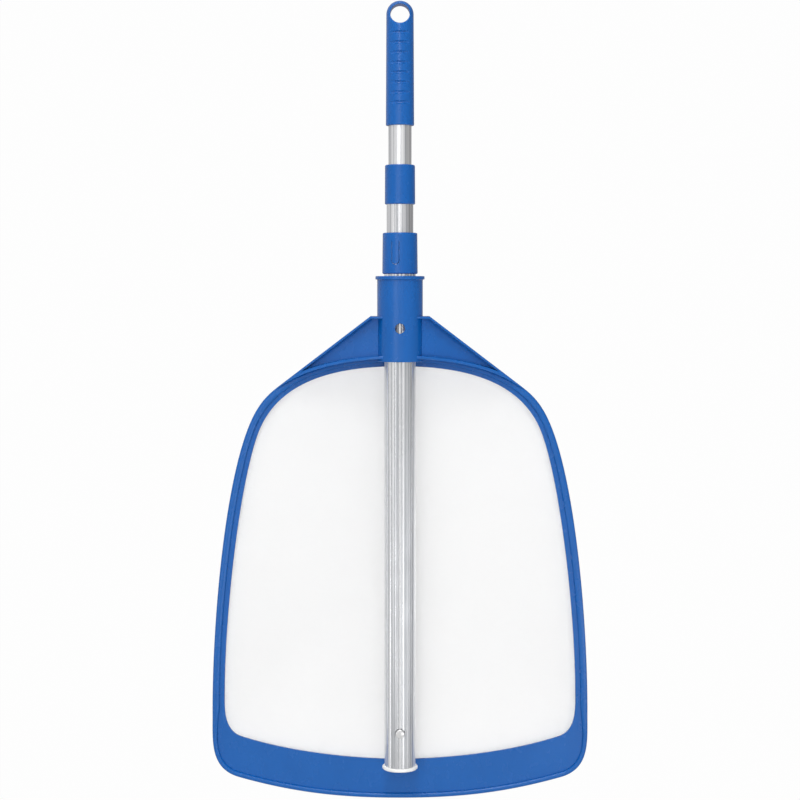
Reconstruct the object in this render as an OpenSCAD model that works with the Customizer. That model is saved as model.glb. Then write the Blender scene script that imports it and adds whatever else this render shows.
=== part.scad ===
// Leaf skimmer net on a three-stage telescopic pole, stored with the pole pushed through the head.
// The origin is the centre of the hanging hole, +Z runs up the pole and the front faces -Y.

/* [Grip] */
// Diameter of the hand grip at the hanging hole and of its domed end
grip_d = 26; // [25:0.5:27]
// Diameter of the hand grip at its lower end
grip_end_d = 27; // [26:0.5:30]
// Distance from the hanging hole's centre down to the end of the grip
grip_drop = 105; // [95:1:140]
// Diameter of the hanging hole
hang_hole_d = 18.4; // [14:0.1:19]
// Length of the hanging hole's straight wall between its two mouths
hole_wall = 17; // [10:0.5:17]
// Radius that each mouth gains on its way out to the grip's face
hole_flare = 0.8; // [0.3:0.1:1.2]
// Chamfer round the end of the grip
grip_chamfer = 1; // [0.5:0.1:1.5]
// Distance from the hanging hole's centre down to the end of the inner tube
grip_seat_drop = 18; // [17:0.5:24]
// Number of finger grooves on each side of the grip
groove_count = 8; // [4:1:9]
// Distance between finger grooves
groove_pitch = 9.4; // [7:0.1:10]
// Distance from the hanging hole's centre down to the first finger groove
groove_drop = 18; // [16:0.5:24]
// Depth of a finger groove at the middle of the grip
groove_depth = 0.9; // [0.4:0.1:1.1]
// Radius of the rounded bottom of a finger groove
groove_r = 1.6; // [1:0.1:2.5]
// Distance behind the pole axis of the centre that a finger groove curves round
groove_centre = 5; // [3:0.5:8]

/* [Tubes] */
// Outer diameter of the inner tube
inner_od = 22; // [20:0.1:22.2]
// Wall of the inner tube
inner_wall = 1.0; // [0.8:0.1:1.4]
// Room between the inner tube's lock and the middle tube's lock core when stored
inner_room = 51.3; // [40:0.1:60]
// Length of inner tube that shows below the grip when stored
inner_show = 37.3; // [20:0.1:60]
// Outer diameter of the middle tube
middle_od = 25.4; // [25.2:0.1:25.7]
// Wall of the middle tube
middle_wall = 1.0; // [0.8:0.1:1]
// Room between the middle tube's lock and the snap spring when stored
middle_room = 45.3; // [35:0.1:55]
// Length of middle tube that shows between the two sleeves when stored
middle_show = 27.1; // [15:0.1:60]
// Outer diameter of the outer tube over its flutes
outer_od = 30; // [29.8:0.1:30.1]
// Wall of the outer tube
outer_wall = 1.4; // [1.3:0.1:1.5]
// Length of the outer tube
outer_len = 511.8; // [500:0.2:560]
// Number of flutes along the outer tube
flute_count = 26; // [12:1:30]
// Depth of a flute
flute_depth = 0.4; // [0.2:0.05:0.6]
// Radius of a flute's rounded bottom
flute_r = 0.9; // [0.6:0.1:1.4]

/* [Sleeves] */
// Length of the upper sleeve
upper_sleeve_len = 37.6; // [34:0.1:50]
// Diameter of the upper sleeve at its top
upper_sleeve_top_d = 28.7; // [27.6:0.1:29.4]
// Diameter of the upper sleeve at its bottom
upper_sleeve_d = 29.1; // [28:0.1:30]
// Length of the lower sleeve
lower_sleeve_len = 39.3; // [36:0.1:50]
// Diameter of the lower sleeve at its top
lower_sleeve_top_d = 33.2; // [31.9:0.1:34]
// Diameter of the lower sleeve at its bottom
lower_sleeve_d = 34; // [32.4:0.1:35]
// Thickness of the end land that closes each sleeve over its tube's end
sleeve_land = 6; // [4:0.5:8]
// Length of the guide skirt inside the tube's end
sleeve_skirt = 30; // [20:1:34]
// Radius of a sleeve's top edge
sleeve_shoulder = 1.4; // [0.6:0.1:1.8]
// Chamfer at a sleeve's bottom edge
sleeve_chamfer = 0.8; // [0.3:0.1:1]
// Width of the spring tongue in the lower sleeve, slot included
tongue_w = 7.6; // [6:0.1:9]
// Width of the slot round the tongue
tongue_slot = 0.5; // [0.4:0.1:1]
// Distance from the top of the lower sleeve down to the tongue's free end
tongue_drop = 30.5; // [26:0.5:34]
// Distance from the top of the lower sleeve down to the tongue's root
tongue_root = 8; // [7:0.5:12]
// Angle round the pole from the front to the tongue, towards -X
tongue_angle = 15.5; // [0:0.5:30]
// Diameter of the tongue's nib, which snaps into the tube
nib_d = 4.4; // [3:0.1:5]

/* [Twist locks] */
// Depth of a lock core's plug inside its tube
core_plug = 22; // [15:1:24]
// Thickness of a lock core's flange
core_flange = 3; // [2:0.5:4]
// Wall of a lock core's hollow plug
core_wall = 3; // [2:0.1:3.4]
// Diameter of the threaded stud on a lock core
stud_d = 9; // [7:0.5:10]
// Length of the split sleeve that grips the next tube
grip_sleeve_len = 20; // [16:1:22]
// Length of the tapered part of the split sleeve's bore
grip_taper_len = 11; // [8:1:12]
// Change of bore radius over that tapered part
grip_taper = 2.2; // [1.5:0.1:2.4]
// Radial room round the cone nut before it is tightened
cone_gap = 0.35; // [0.25:0.05:0.45]
// Wall of the split sleeve at its open end
grip_wall = 2.4; // [2.2:0.1:3]
// Width of the slots that split the sleeve
grip_slot = 1.2; // [0.8:0.1:2]
// Distance that the slots run past the taper
grip_slot_over = 4; // [1:0.5:6]
// Length of the cone nut
nut_len = 12; // [10:1:16]
// Length of the cone nut below the split sleeve
nut_show = 3.5; // [3:0.5:5]
// Diameter of the screw head that keeps the cone nut on
lock_screw_d = 12; // [11:0.5:14]
// Height of that screw head
lock_screw_h = 2.4; // [1.6:0.2:3]
// Diameter of the screw's shank
lock_shank_d = 4; // [3:0.5:5]
// Length of the screw's shank
lock_shank_len = 14; // [8:1:18]
// Width of the screw's cross slot
cross_slot = 1.2; // [0.8:0.1:1.6]
// Depth of the screw's cross slot
cross_slot_depth = 1.2; // [0.8:0.1:1.5]

/* [Pole end] */
// Diameter of the end plug's flange
plug_flange_d = 34.4; // [33:0.1:35]
// Thickness of the end plug's flange
plug_flange_t = 3.2; // [2:0.1:5]
// Depth of the end plug's cup inside the outer tube
plug_depth = 18; // [12:1:22]
// Chamfer round both edges of the end plug's flange
plug_chamfer = 0.8; // [0.4:0.1:1]
// Wall of the end plug's cup
plug_wall = 1.6; // [1.2:0.1:2.5]
// Distance from the tube's end up to the snap button's axis
button_rise = 34.8; // [32:0.2:45]
// Diameter of the snap button
button_d = 8.8; // [8:0.1:9]
// Diameter of the snap button's hole in the tube and in the collar
button_hole_d = 9.6; // [9.4:0.1:10.5]
// Height of the snap button outside the tube
button_proud = 3.6; // [3:0.1:5]
// Chamfer round the snap button's nose
button_chamfer = 1.4; // [0.8:0.1:2]
// Width of the snap button's spring strip
strip_w = 8; // [6:0.5:9]
// Thickness of the spring strip
strip_t = 0.8; // [0.6:0.1:1]
// Distance from the button's axis up to the spring's bend
spring_rise = 50; // [40:1:54]
// Middle radius of the spring's bend
spring_bend_r = 5; // [3.5:0.5:7]
// Distance from the button's axis down to the ends of the spring
spring_tail = 8; // [6:1:10]
// Diameter of the button's tenon through the spring
tenon_d = 4; // [3:0.1:5]
// Diameter of the riveted head behind the spring
tenon_head_d = 6.4; // [5.4:0.1:7]
// Thickness of that riveted head
tenon_head_t = 0.95; // [0.6:0.05:1.2]
// Length of each spring leg that lies straight against the tube, above the button's axis
spring_knee = 10; // [7:0.5:14]

/* [Head] */
// Width of the head across the hoop
head_w = 370; // [330:1:420]
// Length of the head from the top of the hoop to the lip's edge
head_len = 437; // [400:1:480]
// Width of the hoop's rim at its sides
rim_w = 12; // [11:0.5:14]
// Width of the hoop's rim at its top
rim_top_w = 10; // [9:0.5:12]
// Width of the lip at its middle
lip_w = 38.5; // [30:0.5:50]
// Distance behind the pole axis of the front of the hoop's bead
hoop_front = 18; // [17.6:0.1:20]
// Height of the bead in front of the hoop's plate
bead_h = 3; // [2:0.1:3]
// Width of the bead along the sides
bead_w = 7.2; // [5:0.1:8]
// Width of the bead along the lip
lip_bead_w = 5; // [4:0.1:8]
// Inset of the bead's crown from its edges
bead_step = 1.2; // [0.8:0.1:1.5]
// Thickness of the hoop's plate
plate_t = 3; // [2.5:0.1:4]
// Depth of the hoop from its bead to the back of its outer wall
hoop_depth = 12; // [11.5:0.1:14]
// Depth of the inner wall, shorter so that the net passes behind it
inner_wall_depth = 8; // [7:0.1:8.5]
// Distance from the opening's edge to the net groove's inner wall
ledge_w = 4.8; // [4:0.1:5]
// Thickness of the net groove's walls
groove_wall = 2.1; // [1.8:0.1:2.4]
// Depth of the net groove's floor in the back of the plate
groove_cut = 2; // [1:0.1:2.2]

/* [Collar] */
// Gap between the lower sleeve and the head when stored
head_gap = 2.1; // [1:0.1:10]
// Outer diameter of the collar
collar_d = 43.8; // [43:0.1:46]
// Length of the collar with its flange
collar_len = 82; // [78:0.5:90]
// Diameter of the collar's top flange
collar_flange_d = 47.2; // [46:0.1:50]
// Thickness of the collar's top flange
collar_flange_t = 3.2; // [2:0.1:5]
// Chamfer round the collar's top edge
collar_chamfer = 0.5; // [0.3:0.1:1]
// Chamfer at the foot of the collar's bore
collar_lead = 1; // [0.5:0.1:1.5]
// Thickness of the collar's barrel and of its guide round the pole
collar_wall = 2.4; // [2:0.1:2.6]
// Depth of the cores that lighten the collar from below
core_depth = 66; // [40:1:70]
// Number of ribs between the cores
core_ribs = 6; // [4:2:8]
// Thickness of those ribs
core_rib_t = 1.8; // [1.2:0.1:2.4]
// Distance from the collar's top down to the snap hole
snap_hole_drop = 50; // [45:0.1:56]
// Distance from the collar's top down to the hoop's top edge
hoop_drop = 77.6; // [76:0.1:84]
// Distance from the collar's top down to the gussets' top edge
gusset_drop = 38.6; // [30:0.1:44]
// Half width of the gussets' level top edge
gusset_shelf = 28.6; // [27:0.1:36]
// Thickness of a gusset's front ribs
gusset_rib = 2; // [1.6:0.1:3]
// Distance in front of the pole axis of the gusset ribs at the collar
gusset_front = 14.7; // [10:0.1:16]
// Depth of the gussets' recesses behind the ribs at the collar
gusset_pocket = 9; // [6:0.5:20]
// Thickness of the sloping web between a gusset's front and back recesses
gusset_web = 2.5; // [2:0.1:3]

/* [Net] */
// Depth of the net's sag behind the hoop
net_sag = 14; // [4:1:30]
// Thickness of the net with its threads
net_t = 0.6; // [0.4:0.1:1.4]
// Diameter of the retaining cord in the net groove
spline_d = 2.4; // [2:0.1:2.5]
// Thickness of the net's folded hem
hem_t = 0.9; // [0.5:0.1:1.2]

/* [Fits] */
// Radial clearance where one piece slides or turns in another
slide_gap = 0.08; // [0.03:0.01:0.1]
// Radial clearance where a piece is seated and fixed
seat_gap = 0.05; // [0.02:0.01:0.06]
// Clearance between pieces that face each other
face_gap = 0.3; // [0.2:0.05:0.4]
// Clearance between the net's hem and the walls of its groove
hem_gap = 0.2; // [0.1:0.05:0.3]

/* [Hidden] */
$fn = 64;

blue = [0.16, 0.39, 0.68];
deep_blue = [0.12, 0.31, 0.58];
bare_metal = [0.80, 0.81, 0.83];
nylon = [0.93, 0.93, 0.90];
steel = [0.62, 0.63, 0.65];

// Inside diameters of the tubes
inner_id = inner_od - 2 * inner_wall;
middle_id = middle_od - 2 * middle_wall;
outer_id = outer_od - 2 * outer_wall;

// Levels down the pole, stored
grip_bottom_z = -grip_drop;
inner_top_z = -grip_seat_drop;
upper_sleeve_z = grip_bottom_z - inner_show;
middle_top_z = upper_sleeve_z - sleeve_land;
lower_sleeve_z = upper_sleeve_z - upper_sleeve_len - middle_show;
outer_top_z = lower_sleeve_z - sleeve_land;
outer_bottom_z = outer_top_z - outer_len;
button_z = outer_bottom_z + button_rise;
collar_top_z = lower_sleeve_z - lower_sleeve_len - head_gap;
snap_hole_z = collar_top_z - snap_hole_drop;
hoop_top_z = collar_top_z - hoop_drop;
gusset_top_z = collar_top_z - gusset_drop;

// Depths of the hoop, measured behind the pole axis
plate_front = hoop_front + bead_h;
plate_back = plate_front + plate_t;
hoop_back = hoop_front + hoop_depth;
inner_wall_back = hoop_front + inner_wall_depth;
groove_floor = plate_back - groove_cut;
net_front = inner_wall_back + face_gap;
web_back = plate_back + gusset_web;

// The locks' parts, measured below the end of their tube
lock_sleeve_drop = core_flange + face_gap;
lock_sleeve_end = lock_sleeve_drop + grip_sleeve_len;
nut_end = lock_sleeve_end + nut_show;
stud_end = nut_end + face_gap;
lock_end = stud_end + lock_screw_h;

// Levels of the tubes' lower ends, which keep their locks clear of what lies below them
spring_top_z = button_z + spring_rise + spring_bend_r + strip_t / 2;
middle_bottom_z = spring_top_z + middle_room + lock_end;
inner_bottom_z = middle_bottom_z + core_plug + inner_room + lock_end;

// Length by which a cut runs past what it cuts
past = 1;

// Shape of the hoop's right half, from its top centre round to its bottom centre: four Bezier
// curves with shared ends, as shares of the half width and of the length
OUTER_SHAPE = [[0, 0], [0.17, 0], [0.60, 0.014], [0.75, 0.116], [0.92, 0.226], [1, 0.594],
    [1, 0.812], [1, 0.872], [1.017, 0.934], [0.856, 0.953], [0.548, 0.990], [0.302, 1], [0, 1]];
INNER_SHAPE = [[0, 0], [0.34, 0], [0.661, 0.031], [0.787, 0.153], [0.893, 0.255], [1, 0.608],
    [1, 0.852], [1, 0.891], [0.988, 0.930], [0.905, 0.942], [0.641, 0.981], [0.28, 1], [0, 1]];
curve_steps = 9;
// Place along the hoop's first curve where the gusset's slanted edge runs into it
gusset_tangent = 0.83;
// Share of the rim's width that the gussets reach into the hoop
gusset_root = 0.1;

// ---- outlines of the hoop ----

outer_points = [for (p = OUTER_SHAPE) [p[0] * head_w / 2, hoop_top_z - p[1] * head_len]];
inner_points = [for (p = INNER_SHAPE)
    [p[0] * (head_w / 2 - rim_w), hoop_top_z - rim_top_w - p[1] * (head_len - rim_top_w - lip_w)]];

// Share of the way from the outer to the inner outline at each control point
function shares(side, lip) = [for (i = [0:12]) i < 7 ? side : i == 7 ? (side + lip) / 2 : lip];

function blend_points(share) =
    [for (i = [0:12]) outer_points[i] + share[i] * (inner_points[i] - outer_points[i])];

function bezier(p, i, t) = pow(1 - t, 3) * p[i] + 3 * pow(1 - t, 2) * t * p[i + 1]
    + 3 * (1 - t) * t * t * p[i + 2] + pow(t, 3) * p[i + 3];

function half_curve(p) = concat(
    [for (i = [0:3:9]) for (k = [0:curve_steps - 1]) bezier(p, i, k / curve_steps)], [p[12]]);

// A closed outline: down the right side, then up the left
function ring_curve(share) = let (half = half_curve(blend_points(share)), n = len(half))
    concat(half, [for (k = [n - 2:-1:1]) [-half[k][0], half[k][1]]]);

// Outline at a distance outside the opening's edge, and one inside the hoop's outer edge
function from_opening(d) = ring_curve(shares(1 - d / rim_w, 1 - d / lip_w));
function from_edge(side, lip) = ring_curve(shares(side / rim_w, lip / lip_w));

// ---- helpers ----

// A flat shape in X and Z made solid between two depths
module prism(y0, y1) {
    translate([0, y1, 0]) rotate([90, 0, 0]) linear_extrude(y1 - y0) children();
}

// The band between two outlines made solid between two depths
module band(outside, inside, y0, y1) {
    prism(y0, y1) difference() {
        polygon(outside);
        polygon(inside);
    }
}

// A tube between two levels
module pipe(od, id, z0, z1) {
    translate([0, 0, z0]) difference() {
        cylinder(d = od, h = z1 - z0);
        translate([0, 0, -past]) cylinder(d = id, h = z1 - z0 + 2 * past);
    }
}

// A cylinder whose axis runs front to back
module cross_pin(d, y0, y1, z, x = 0) {
    translate([x, y1, z]) rotate([90, 0, 0]) cylinder(d = d, h = y1 - y0);
}

// ---- handle stage ----

// Radius of the tapered grip at a distance below the hanging hole's centre
function grip_r(drop) = (grip_d + (grip_end_d - grip_d) * drop / grip_drop) / 2;

// One row of finger grooves, curving round a centre behind the front face
module finger_grooves() {
    for (k = [0:groove_count - 1])
        let (drop = groove_drop + k * groove_pitch,
            ring_r = grip_r(drop) + groove_centre - groove_depth + groove_r)
        translate([0, groove_centre, -drop])
            rotate_extrude() translate([ring_r, 0]) circle(r = groove_r, $fn = 32);
}

// One flared mouth of the hanging hole
module hole_mouth() {
    flare_h = (grip_d - hole_wall) / 2;
    slope = hole_flare / flare_h;
    translate([0, -hole_wall / 2, 0]) rotate([90, 0, 0])
        cylinder(d1 = hang_hole_d, d2 = hang_hole_d + 2 * slope * (flare_h + past), h = flare_h + past);
}

module grip() {
    color(blue) difference() {
        union() {
            intersection() {
                sphere(d = grip_d);
                translate([-grip_d, -grip_d, 0]) cube(2 * grip_d);
            }
            translate([0, 0, grip_bottom_z + grip_chamfer])
                cylinder(d1 = grip_end_d, d2 = grip_d, h = grip_drop - grip_chamfer);
            translate([0, 0, grip_bottom_z])
                cylinder(d1 = grip_end_d - 2 * grip_chamfer, d2 = grip_end_d, h = grip_chamfer);
        }
        cross_pin(hang_hole_d, -grip_d, grip_d, 0);
        for (side = [0, 180]) rotate([0, 0, side]) {
            hole_mouth();
            finger_grooves();
        }
        translate([0, 0, grip_bottom_z - past])
            cylinder(d = inner_od + 2 * seat_gap, h = inner_top_z - grip_bottom_z + past);
    }
}

module inner_tube() {
    color(bare_metal) pipe(inner_od, inner_id, inner_bottom_z, inner_top_z);
}

// ---- twist locks ----

// Plug pressed into a tube's end, with the flange and the stud that carry the lock
module lock_core(tube_id, flange_d, end_z) {
    color(nylon) difference() {
        translate([0, 0, end_z]) union() {
            cylinder(d = tube_id - 2 * seat_gap, h = core_plug);
            translate([0, 0, -core_flange]) cylinder(d = flange_d, h = core_flange);
            translate([0, 0, -stud_end]) cylinder(d = stud_d, h = stud_end);
        }
        translate([0, 0, end_z - stud_end - past])
            cylinder(d = lock_shank_d + 2 * seat_gap, h = lock_shank_len + 2 * past);
        translate([0, 0, end_z + core_wall]) cylinder(d = tube_id - 2 * core_wall, h = core_plug);
    }
}

// Split sleeve that spreads against the next tube when its cone is drawn in
module lock_sleeve(tube_id, end_z) {
    od = tube_id - 2 * slide_gap;
    mouth = od - 2 * grip_wall;
    color(deep_blue) translate([0, 0, end_z - lock_sleeve_end]) difference() {
        cylinder(d = od, h = grip_sleeve_len);
        translate([0, 0, -past]) cylinder(d = stud_d + 2 * face_gap, h = grip_sleeve_len + 2 * past);
        rotate_extrude() polygon([[0, -past], [mouth / 2, -past], [mouth / 2, 0],
            [mouth / 2 - grip_taper, grip_taper_len], [0, grip_taper_len]]);
        for (turn = [0, 90]) rotate([0, 0, turn + 45]) translate([-od, -grip_slot / 2, -past])
            cube([2 * od, grip_slot, grip_taper_len + grip_slot_over + past]);
    }
}

// Cone nut, one step short of spreading its sleeve
module lock_nut(tube_id, end_z) {
    mouth = tube_id - 2 * slide_gap - 2 * grip_wall - 2 * cone_gap;
    slope = grip_taper / grip_taper_len;
    cone_h = nut_len - nut_show - face_gap;
    color(nylon) translate([0, 0, end_z - nut_end]) difference() {
        union() {
            cylinder(d = mouth, h = nut_show);
            translate([0, 0, nut_show]) cylinder(d1 = mouth, d2 = mouth - 2 * slope * cone_h, h = cone_h);
        }
        translate([0, 0, -past]) cylinder(d = stud_d + 2 * seat_gap, h = nut_len + 2 * past);
    }
}

// Screw whose head keeps the cone nut on the stud
module lock_screw(end_z) {
    color(steel) translate([0, 0, end_z - stud_end]) difference() {
        union() {
            translate([0, 0, -lock_screw_h]) cylinder(d = lock_screw_d, h = lock_screw_h);
            cylinder(d = lock_shank_d, h = lock_shank_len);
        }
        for (turn = [0, 90]) rotate([0, 0, turn])
            translate([-lock_screw_d / 4, -cross_slot / 2, -lock_screw_h - past])
                cube([lock_screw_d / 2, cross_slot, cross_slot_depth + past]);
    }
}

module inner_lock_core() {
    lock_core(inner_id, inner_od + 2 * face_gap, inner_bottom_z);
}

module inner_lock_sleeve() {
    lock_sleeve(middle_id, inner_bottom_z);
}

module inner_lock_nut() {
    lock_nut(middle_id, inner_bottom_z);
}

module inner_lock_screw() {
    lock_screw(inner_bottom_z);
}

module middle_lock_core() {
    lock_core(middle_id, middle_od + 2 * face_gap, middle_bottom_z);
}

module middle_lock_sleeve() {
    lock_sleeve(outer_id, middle_bottom_z);
}

module middle_lock_nut() {
    lock_nut(outer_id, middle_bottom_z);
}

module middle_lock_screw() {
    lock_screw(middle_bottom_z);
}

// ---- middle stage ----

module middle_tube() {
    color(bare_metal) pipe(middle_od, middle_id, middle_bottom_z, middle_top_z);
}

// Sleeve over a tube's end, with a skirt inside the tube that guides the thinner tube
module end_sleeve(top_d, bottom_d, length, top_z, tube_od, tube_id, guided_d) {
    bore = guided_d + 2 * slide_gap;
    skirt_d = tube_id - 2 * seat_gap;
    translate([0, 0, top_z]) rotate_extrude() polygon([
        [bore / 2, 0],
        for (a = [90:-18:0]) [top_d / 2, -sleeve_shoulder] + sleeve_shoulder * [cos(a) - 1, sin(a)],
        [bottom_d / 2, -length + sleeve_chamfer],
        [bottom_d / 2 - sleeve_chamfer, -length],
        [tube_od / 2 + seat_gap, -length],
        [tube_od / 2 + seat_gap, -sleeve_land],
        [skirt_d / 2, -sleeve_land],
        [skirt_d / 2, -sleeve_land - sleeve_skirt],
        [bore / 2, -sleeve_land - sleeve_skirt]]);
}

module upper_sleeve() {
    color(blue) end_sleeve(upper_sleeve_top_d, upper_sleeve_d, upper_sleeve_len, upper_sleeve_z,
        middle_od, middle_id, inner_od);
}

// ---- outer stage ----

// Things placed round the pole where the sleeve's tongue is
module at_tongue() {
    rotate([0, 0, -tongue_angle]) children();
}

module outer_tube() {
    nib_z = lower_sleeve_z - tongue_drop + tongue_w / 2;
    color(bare_metal) difference() {
        translate([0, 0, outer_bottom_z]) cylinder(d = outer_od, h = outer_len);
        translate([0, 0, outer_bottom_z - past]) cylinder(d = outer_id, h = outer_len + 2 * past);
        for (k = [0:flute_count - 1]) rotate([0, 0, (k + 0.5) * 360 / flute_count])
            translate([0, -outer_od / 2 + flute_depth - flute_r, outer_bottom_z - past])
                cylinder(r = flute_r, h = outer_len + 2 * past, $fn = 24);
        cross_pin(button_hole_d, -outer_od, 0, button_z);
        at_tongue() cross_pin(nib_d + 2 * face_gap, -outer_od, 0, nib_z);
    }
}

// Slot round three sides of the spring tongue
module tongue_slot_cut() {
    inside_w = tongue_w - 2 * tongue_slot;
    end_z = lower_sleeve_z - tongue_drop + tongue_w / 2;
    root_z = lower_sleeve_z - tongue_root;
    difference() {
        union() {
            cross_pin(tongue_w, -outer_od, 0, end_z);
            translate([-tongue_w / 2, -outer_od, end_z]) cube([tongue_w, outer_od, root_z - end_z]);
        }
        cross_pin(inside_w, -outer_od - past, past, end_z);
        translate([-inside_w / 2, -outer_od - past, end_z])
            cube([inside_w, outer_od + 2 * past, root_z - end_z + past]);
    }
}

module lower_sleeve() {
    nib_z = lower_sleeve_z - tongue_drop + tongue_w / 2;
    color(blue) difference() {
        union() {
            end_sleeve(lower_sleeve_top_d, lower_sleeve_d, lower_sleeve_len, lower_sleeve_z,
                outer_od, outer_id, middle_od);
            at_tongue() cross_pin(nib_d, -outer_od / 2 - 0.8, -outer_id / 2 - 0.2, nib_z);
        }
        difference() {
            at_tongue() tongue_slot_cut();
            translate([0, 0, outer_bottom_z]) cylinder(d = outer_od, h = outer_len * 2);
        }
    }
}

module end_plug() {
    cup_r = outer_id / 2 - seat_gap;
    flange_r = plug_flange_d / 2;
    color(nylon) translate([0, 0, outer_bottom_z]) rotate_extrude() polygon([
        [0, -plug_flange_t], [flange_r - plug_chamfer, -plug_flange_t],
        [flange_r, plug_chamfer - plug_flange_t], [flange_r, -plug_chamfer],
        [flange_r - plug_chamfer, 0], [cup_r, 0], [cup_r, plug_depth],
        [cup_r - plug_wall, plug_depth], [cup_r - plug_wall, 0], [0, 0]]);
}

// Depth of the spring strip's outer face, where its edges lie against the tube
strip_face = sqrt(pow(outer_id / 2, 2) - pow(strip_w / 2, 2)) - seat_gap;

// Side outline of the spring in Y and Z: two legs that part below a half-round bend
module spring_outline() {
    knee = button_z + spring_knee;
    tail = button_z - spring_tail;
    bend = [0, button_z + spring_rise];
    outside = strip_face;
    inside = strip_face - strip_t;
    polygon(concat(
        [[outside, tail], [outside, knee]],
        [for (a = [0:12:180]) bend + (spring_bend_r + strip_t / 2) * [cos(a), sin(a)]],
        [[-outside, knee], [-outside, tail], [-inside, tail], [-inside, knee]],
        [for (a = [180:-12:0]) bend + (spring_bend_r - strip_t / 2) * [cos(a), sin(a)]],
        [[inside, knee], [inside, tail]]));
}

module snap_spring() {
    color(steel) difference() {
        rotate([90, 0, 90]) linear_extrude(strip_w, center = true) spring_outline();
        cross_pin(tenon_d + 2 * seat_gap, -outer_od, 0, button_z);
    }
}

module snap_button() {
    nose = outer_od / 2 + button_proud;
    strip_back = strip_face - strip_t;
    color(steel) {
        cross_pin(button_d, button_chamfer - nose, -strip_face - seat_gap, button_z);
        translate([0, button_chamfer - nose, button_z]) rotate([90, 0, 0])
            cylinder(d1 = button_d, d2 = button_d - 2 * button_chamfer, h = button_chamfer);
        cross_pin(tenon_d, -strip_face - 2 * seat_gap, 2 * seat_gap - strip_back, button_z);
        cross_pin(tenon_head_d, seat_gap - strip_back, seat_gap - strip_back + tenon_head_t, button_z);
    }
}

// ---- head ----

// Cores that lighten the collar from below, with ribs left between them
module collar_cores() {
    core_od = collar_d - 2 * collar_wall;
    core_id = outer_od + 2 * slide_gap + 2 * collar_wall;
    bottom_z = collar_top_z - collar_len;
    difference() {
        pipe(core_od, core_id, bottom_z - past, bottom_z + core_depth);
        for (k = [0:core_ribs - 1]) rotate([0, 0, k * 360 / core_ribs])
            translate([-core_rib_t / 2, -collar_d, bottom_z - 2 * past])
                cube([core_rib_t, collar_d, core_depth + 3 * past]);
        cross_pin(button_hole_d + 2 * collar_wall, -collar_d, 0, snap_hole_z);
    }
}

module collar_body() {
    flange_r = collar_flange_d / 2;
    translate([0, 0, collar_top_z]) rotate_extrude() polygon([
        [0, 0], [flange_r - collar_chamfer, 0], [flange_r, -collar_chamfer],
        [flange_r, -collar_flange_t], [collar_d / 2, -collar_flange_t],
        [collar_d / 2, -collar_len], [0, -collar_len]]);
}

// Front outline of the right gusset: level top, slanted side and a lower edge just inside the hoop
gusset_end = bezier(outer_points, 0, gusset_tangent);
root_points = blend_points(shares(gusset_root, 0));
root_arc = [for (k = [0:12]) bezier(root_points, 0, gusset_tangent * (1 - k / 12))];
gusset_points = concat([[-past, gusset_top_z], [gusset_shelf, gusset_top_z], gusset_end],
    root_arc, [[-past, root_points[0][1]]]);
gusset_slope = atan2(gusset_top_z - gusset_end[1], gusset_end[0] - gusset_shelf);

// Outline of a gusset's recesses: inside its level, slanted and lower ribs
module recess_outline() {
    difference() {
        intersection() {
            translate([-2 * past, gusset_end[1]])
                square([head_w / 2, gusset_top_z - gusset_end[1] - gusset_rib]);
            translate([gusset_shelf, gusset_top_z]) rotate(-gusset_slope)
                translate([-head_w, -head_w - gusset_rib]) square([2 * head_w, head_w]);
        }
        polygon(ring_curve(shares(-gusset_rib / rim_top_w, 0)));
    }
}

// A shape in X and Y made as tall as the gussets, with room to spare
module gusset_column(points) {
    translate([0, 0, gusset_end[1] - rim_w])
        linear_extrude(gusset_top_z - gusset_end[1] + 2 * rim_w) polygon(points);
}

// The right gusset: its front leans back from the collar to the hoop, and a web that leans with
// it parts the front recess from the back one
module gusset() {
    collar_r = collar_d / 2;
    end_x = gusset_end[0];
    web_y = gusset_pocket - gusset_front;
    difference() {
        intersection() {
            prism(-collar_d, hoop_back) polygon(gusset_points);
            gusset_column([[-past, -gusset_front], [collar_r, -gusset_front], [end_x, hoop_front],
                [end_x + rim_w, hoop_front], [end_x + rim_w, web_back], [-past, web_back]]);
        }
        intersection() {
            prism(-collar_d, hoop_back) recess_outline();
            union() {
                gusset_column([[-2 * past, -collar_d], [end_x, -collar_d], [end_x, plate_back],
                    [collar_r, web_y], [-2 * past, web_y]]);
                gusset_column([[-2 * past, web_y + gusset_web], [collar_r, web_y + gusset_web],
                    [end_x, web_back], [end_x, hoop_back], [-2 * past, hoop_back]]);
            }
        }
    }
}

module hoop() {
    outside = from_edge(0, 0);
    opening = from_opening(0);
    band(outside, opening, plate_front, plate_back);
    band(outside, from_edge(bead_w, lip_bead_w), hoop_front + bead_h / 2, plate_front);
    band(from_edge(bead_step, bead_step), from_edge(bead_w - bead_step, lip_bead_w - bead_step),
        hoop_front, hoop_front + bead_h / 2);
    band(from_opening(ledge_w + groove_wall), from_opening(ledge_w), plate_back, inner_wall_back);
    band(from_opening(rim_w), from_opening(rim_w - groove_wall), plate_back, hoop_back);
}

module scoop_frame() {
    bore_d = outer_od + 2 * slide_gap;
    color(blue) difference() {
        union() {
            hoop();
            for (side = [0, 1]) mirror([side, 0, 0]) gusset();
            collar_body();
        }
        collar_cores();
        translate([0, 0, collar_top_z - collar_len - past])
            cylinder(d = bore_d, h = collar_len + 2 * past);
        translate([0, 0, collar_top_z - collar_len - collar_lead])
            cylinder(d1 = bore_d + 4 * collar_lead, d2 = bore_d, h = 2 * collar_lead);
        cross_pin(button_hole_d, -collar_d, 0, snap_hole_z);
        band(from_opening(rim_w - groove_wall), from_opening(ledge_w + groove_wall),
            groove_floor, plate_back + past);
    }
}

// ---- net ----

net_centre = [0, hoop_top_z - 0.48 * head_len];
NET_RINGS = [1, 0.97, 0.82, 0.62, 0.4, 0.2];

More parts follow.
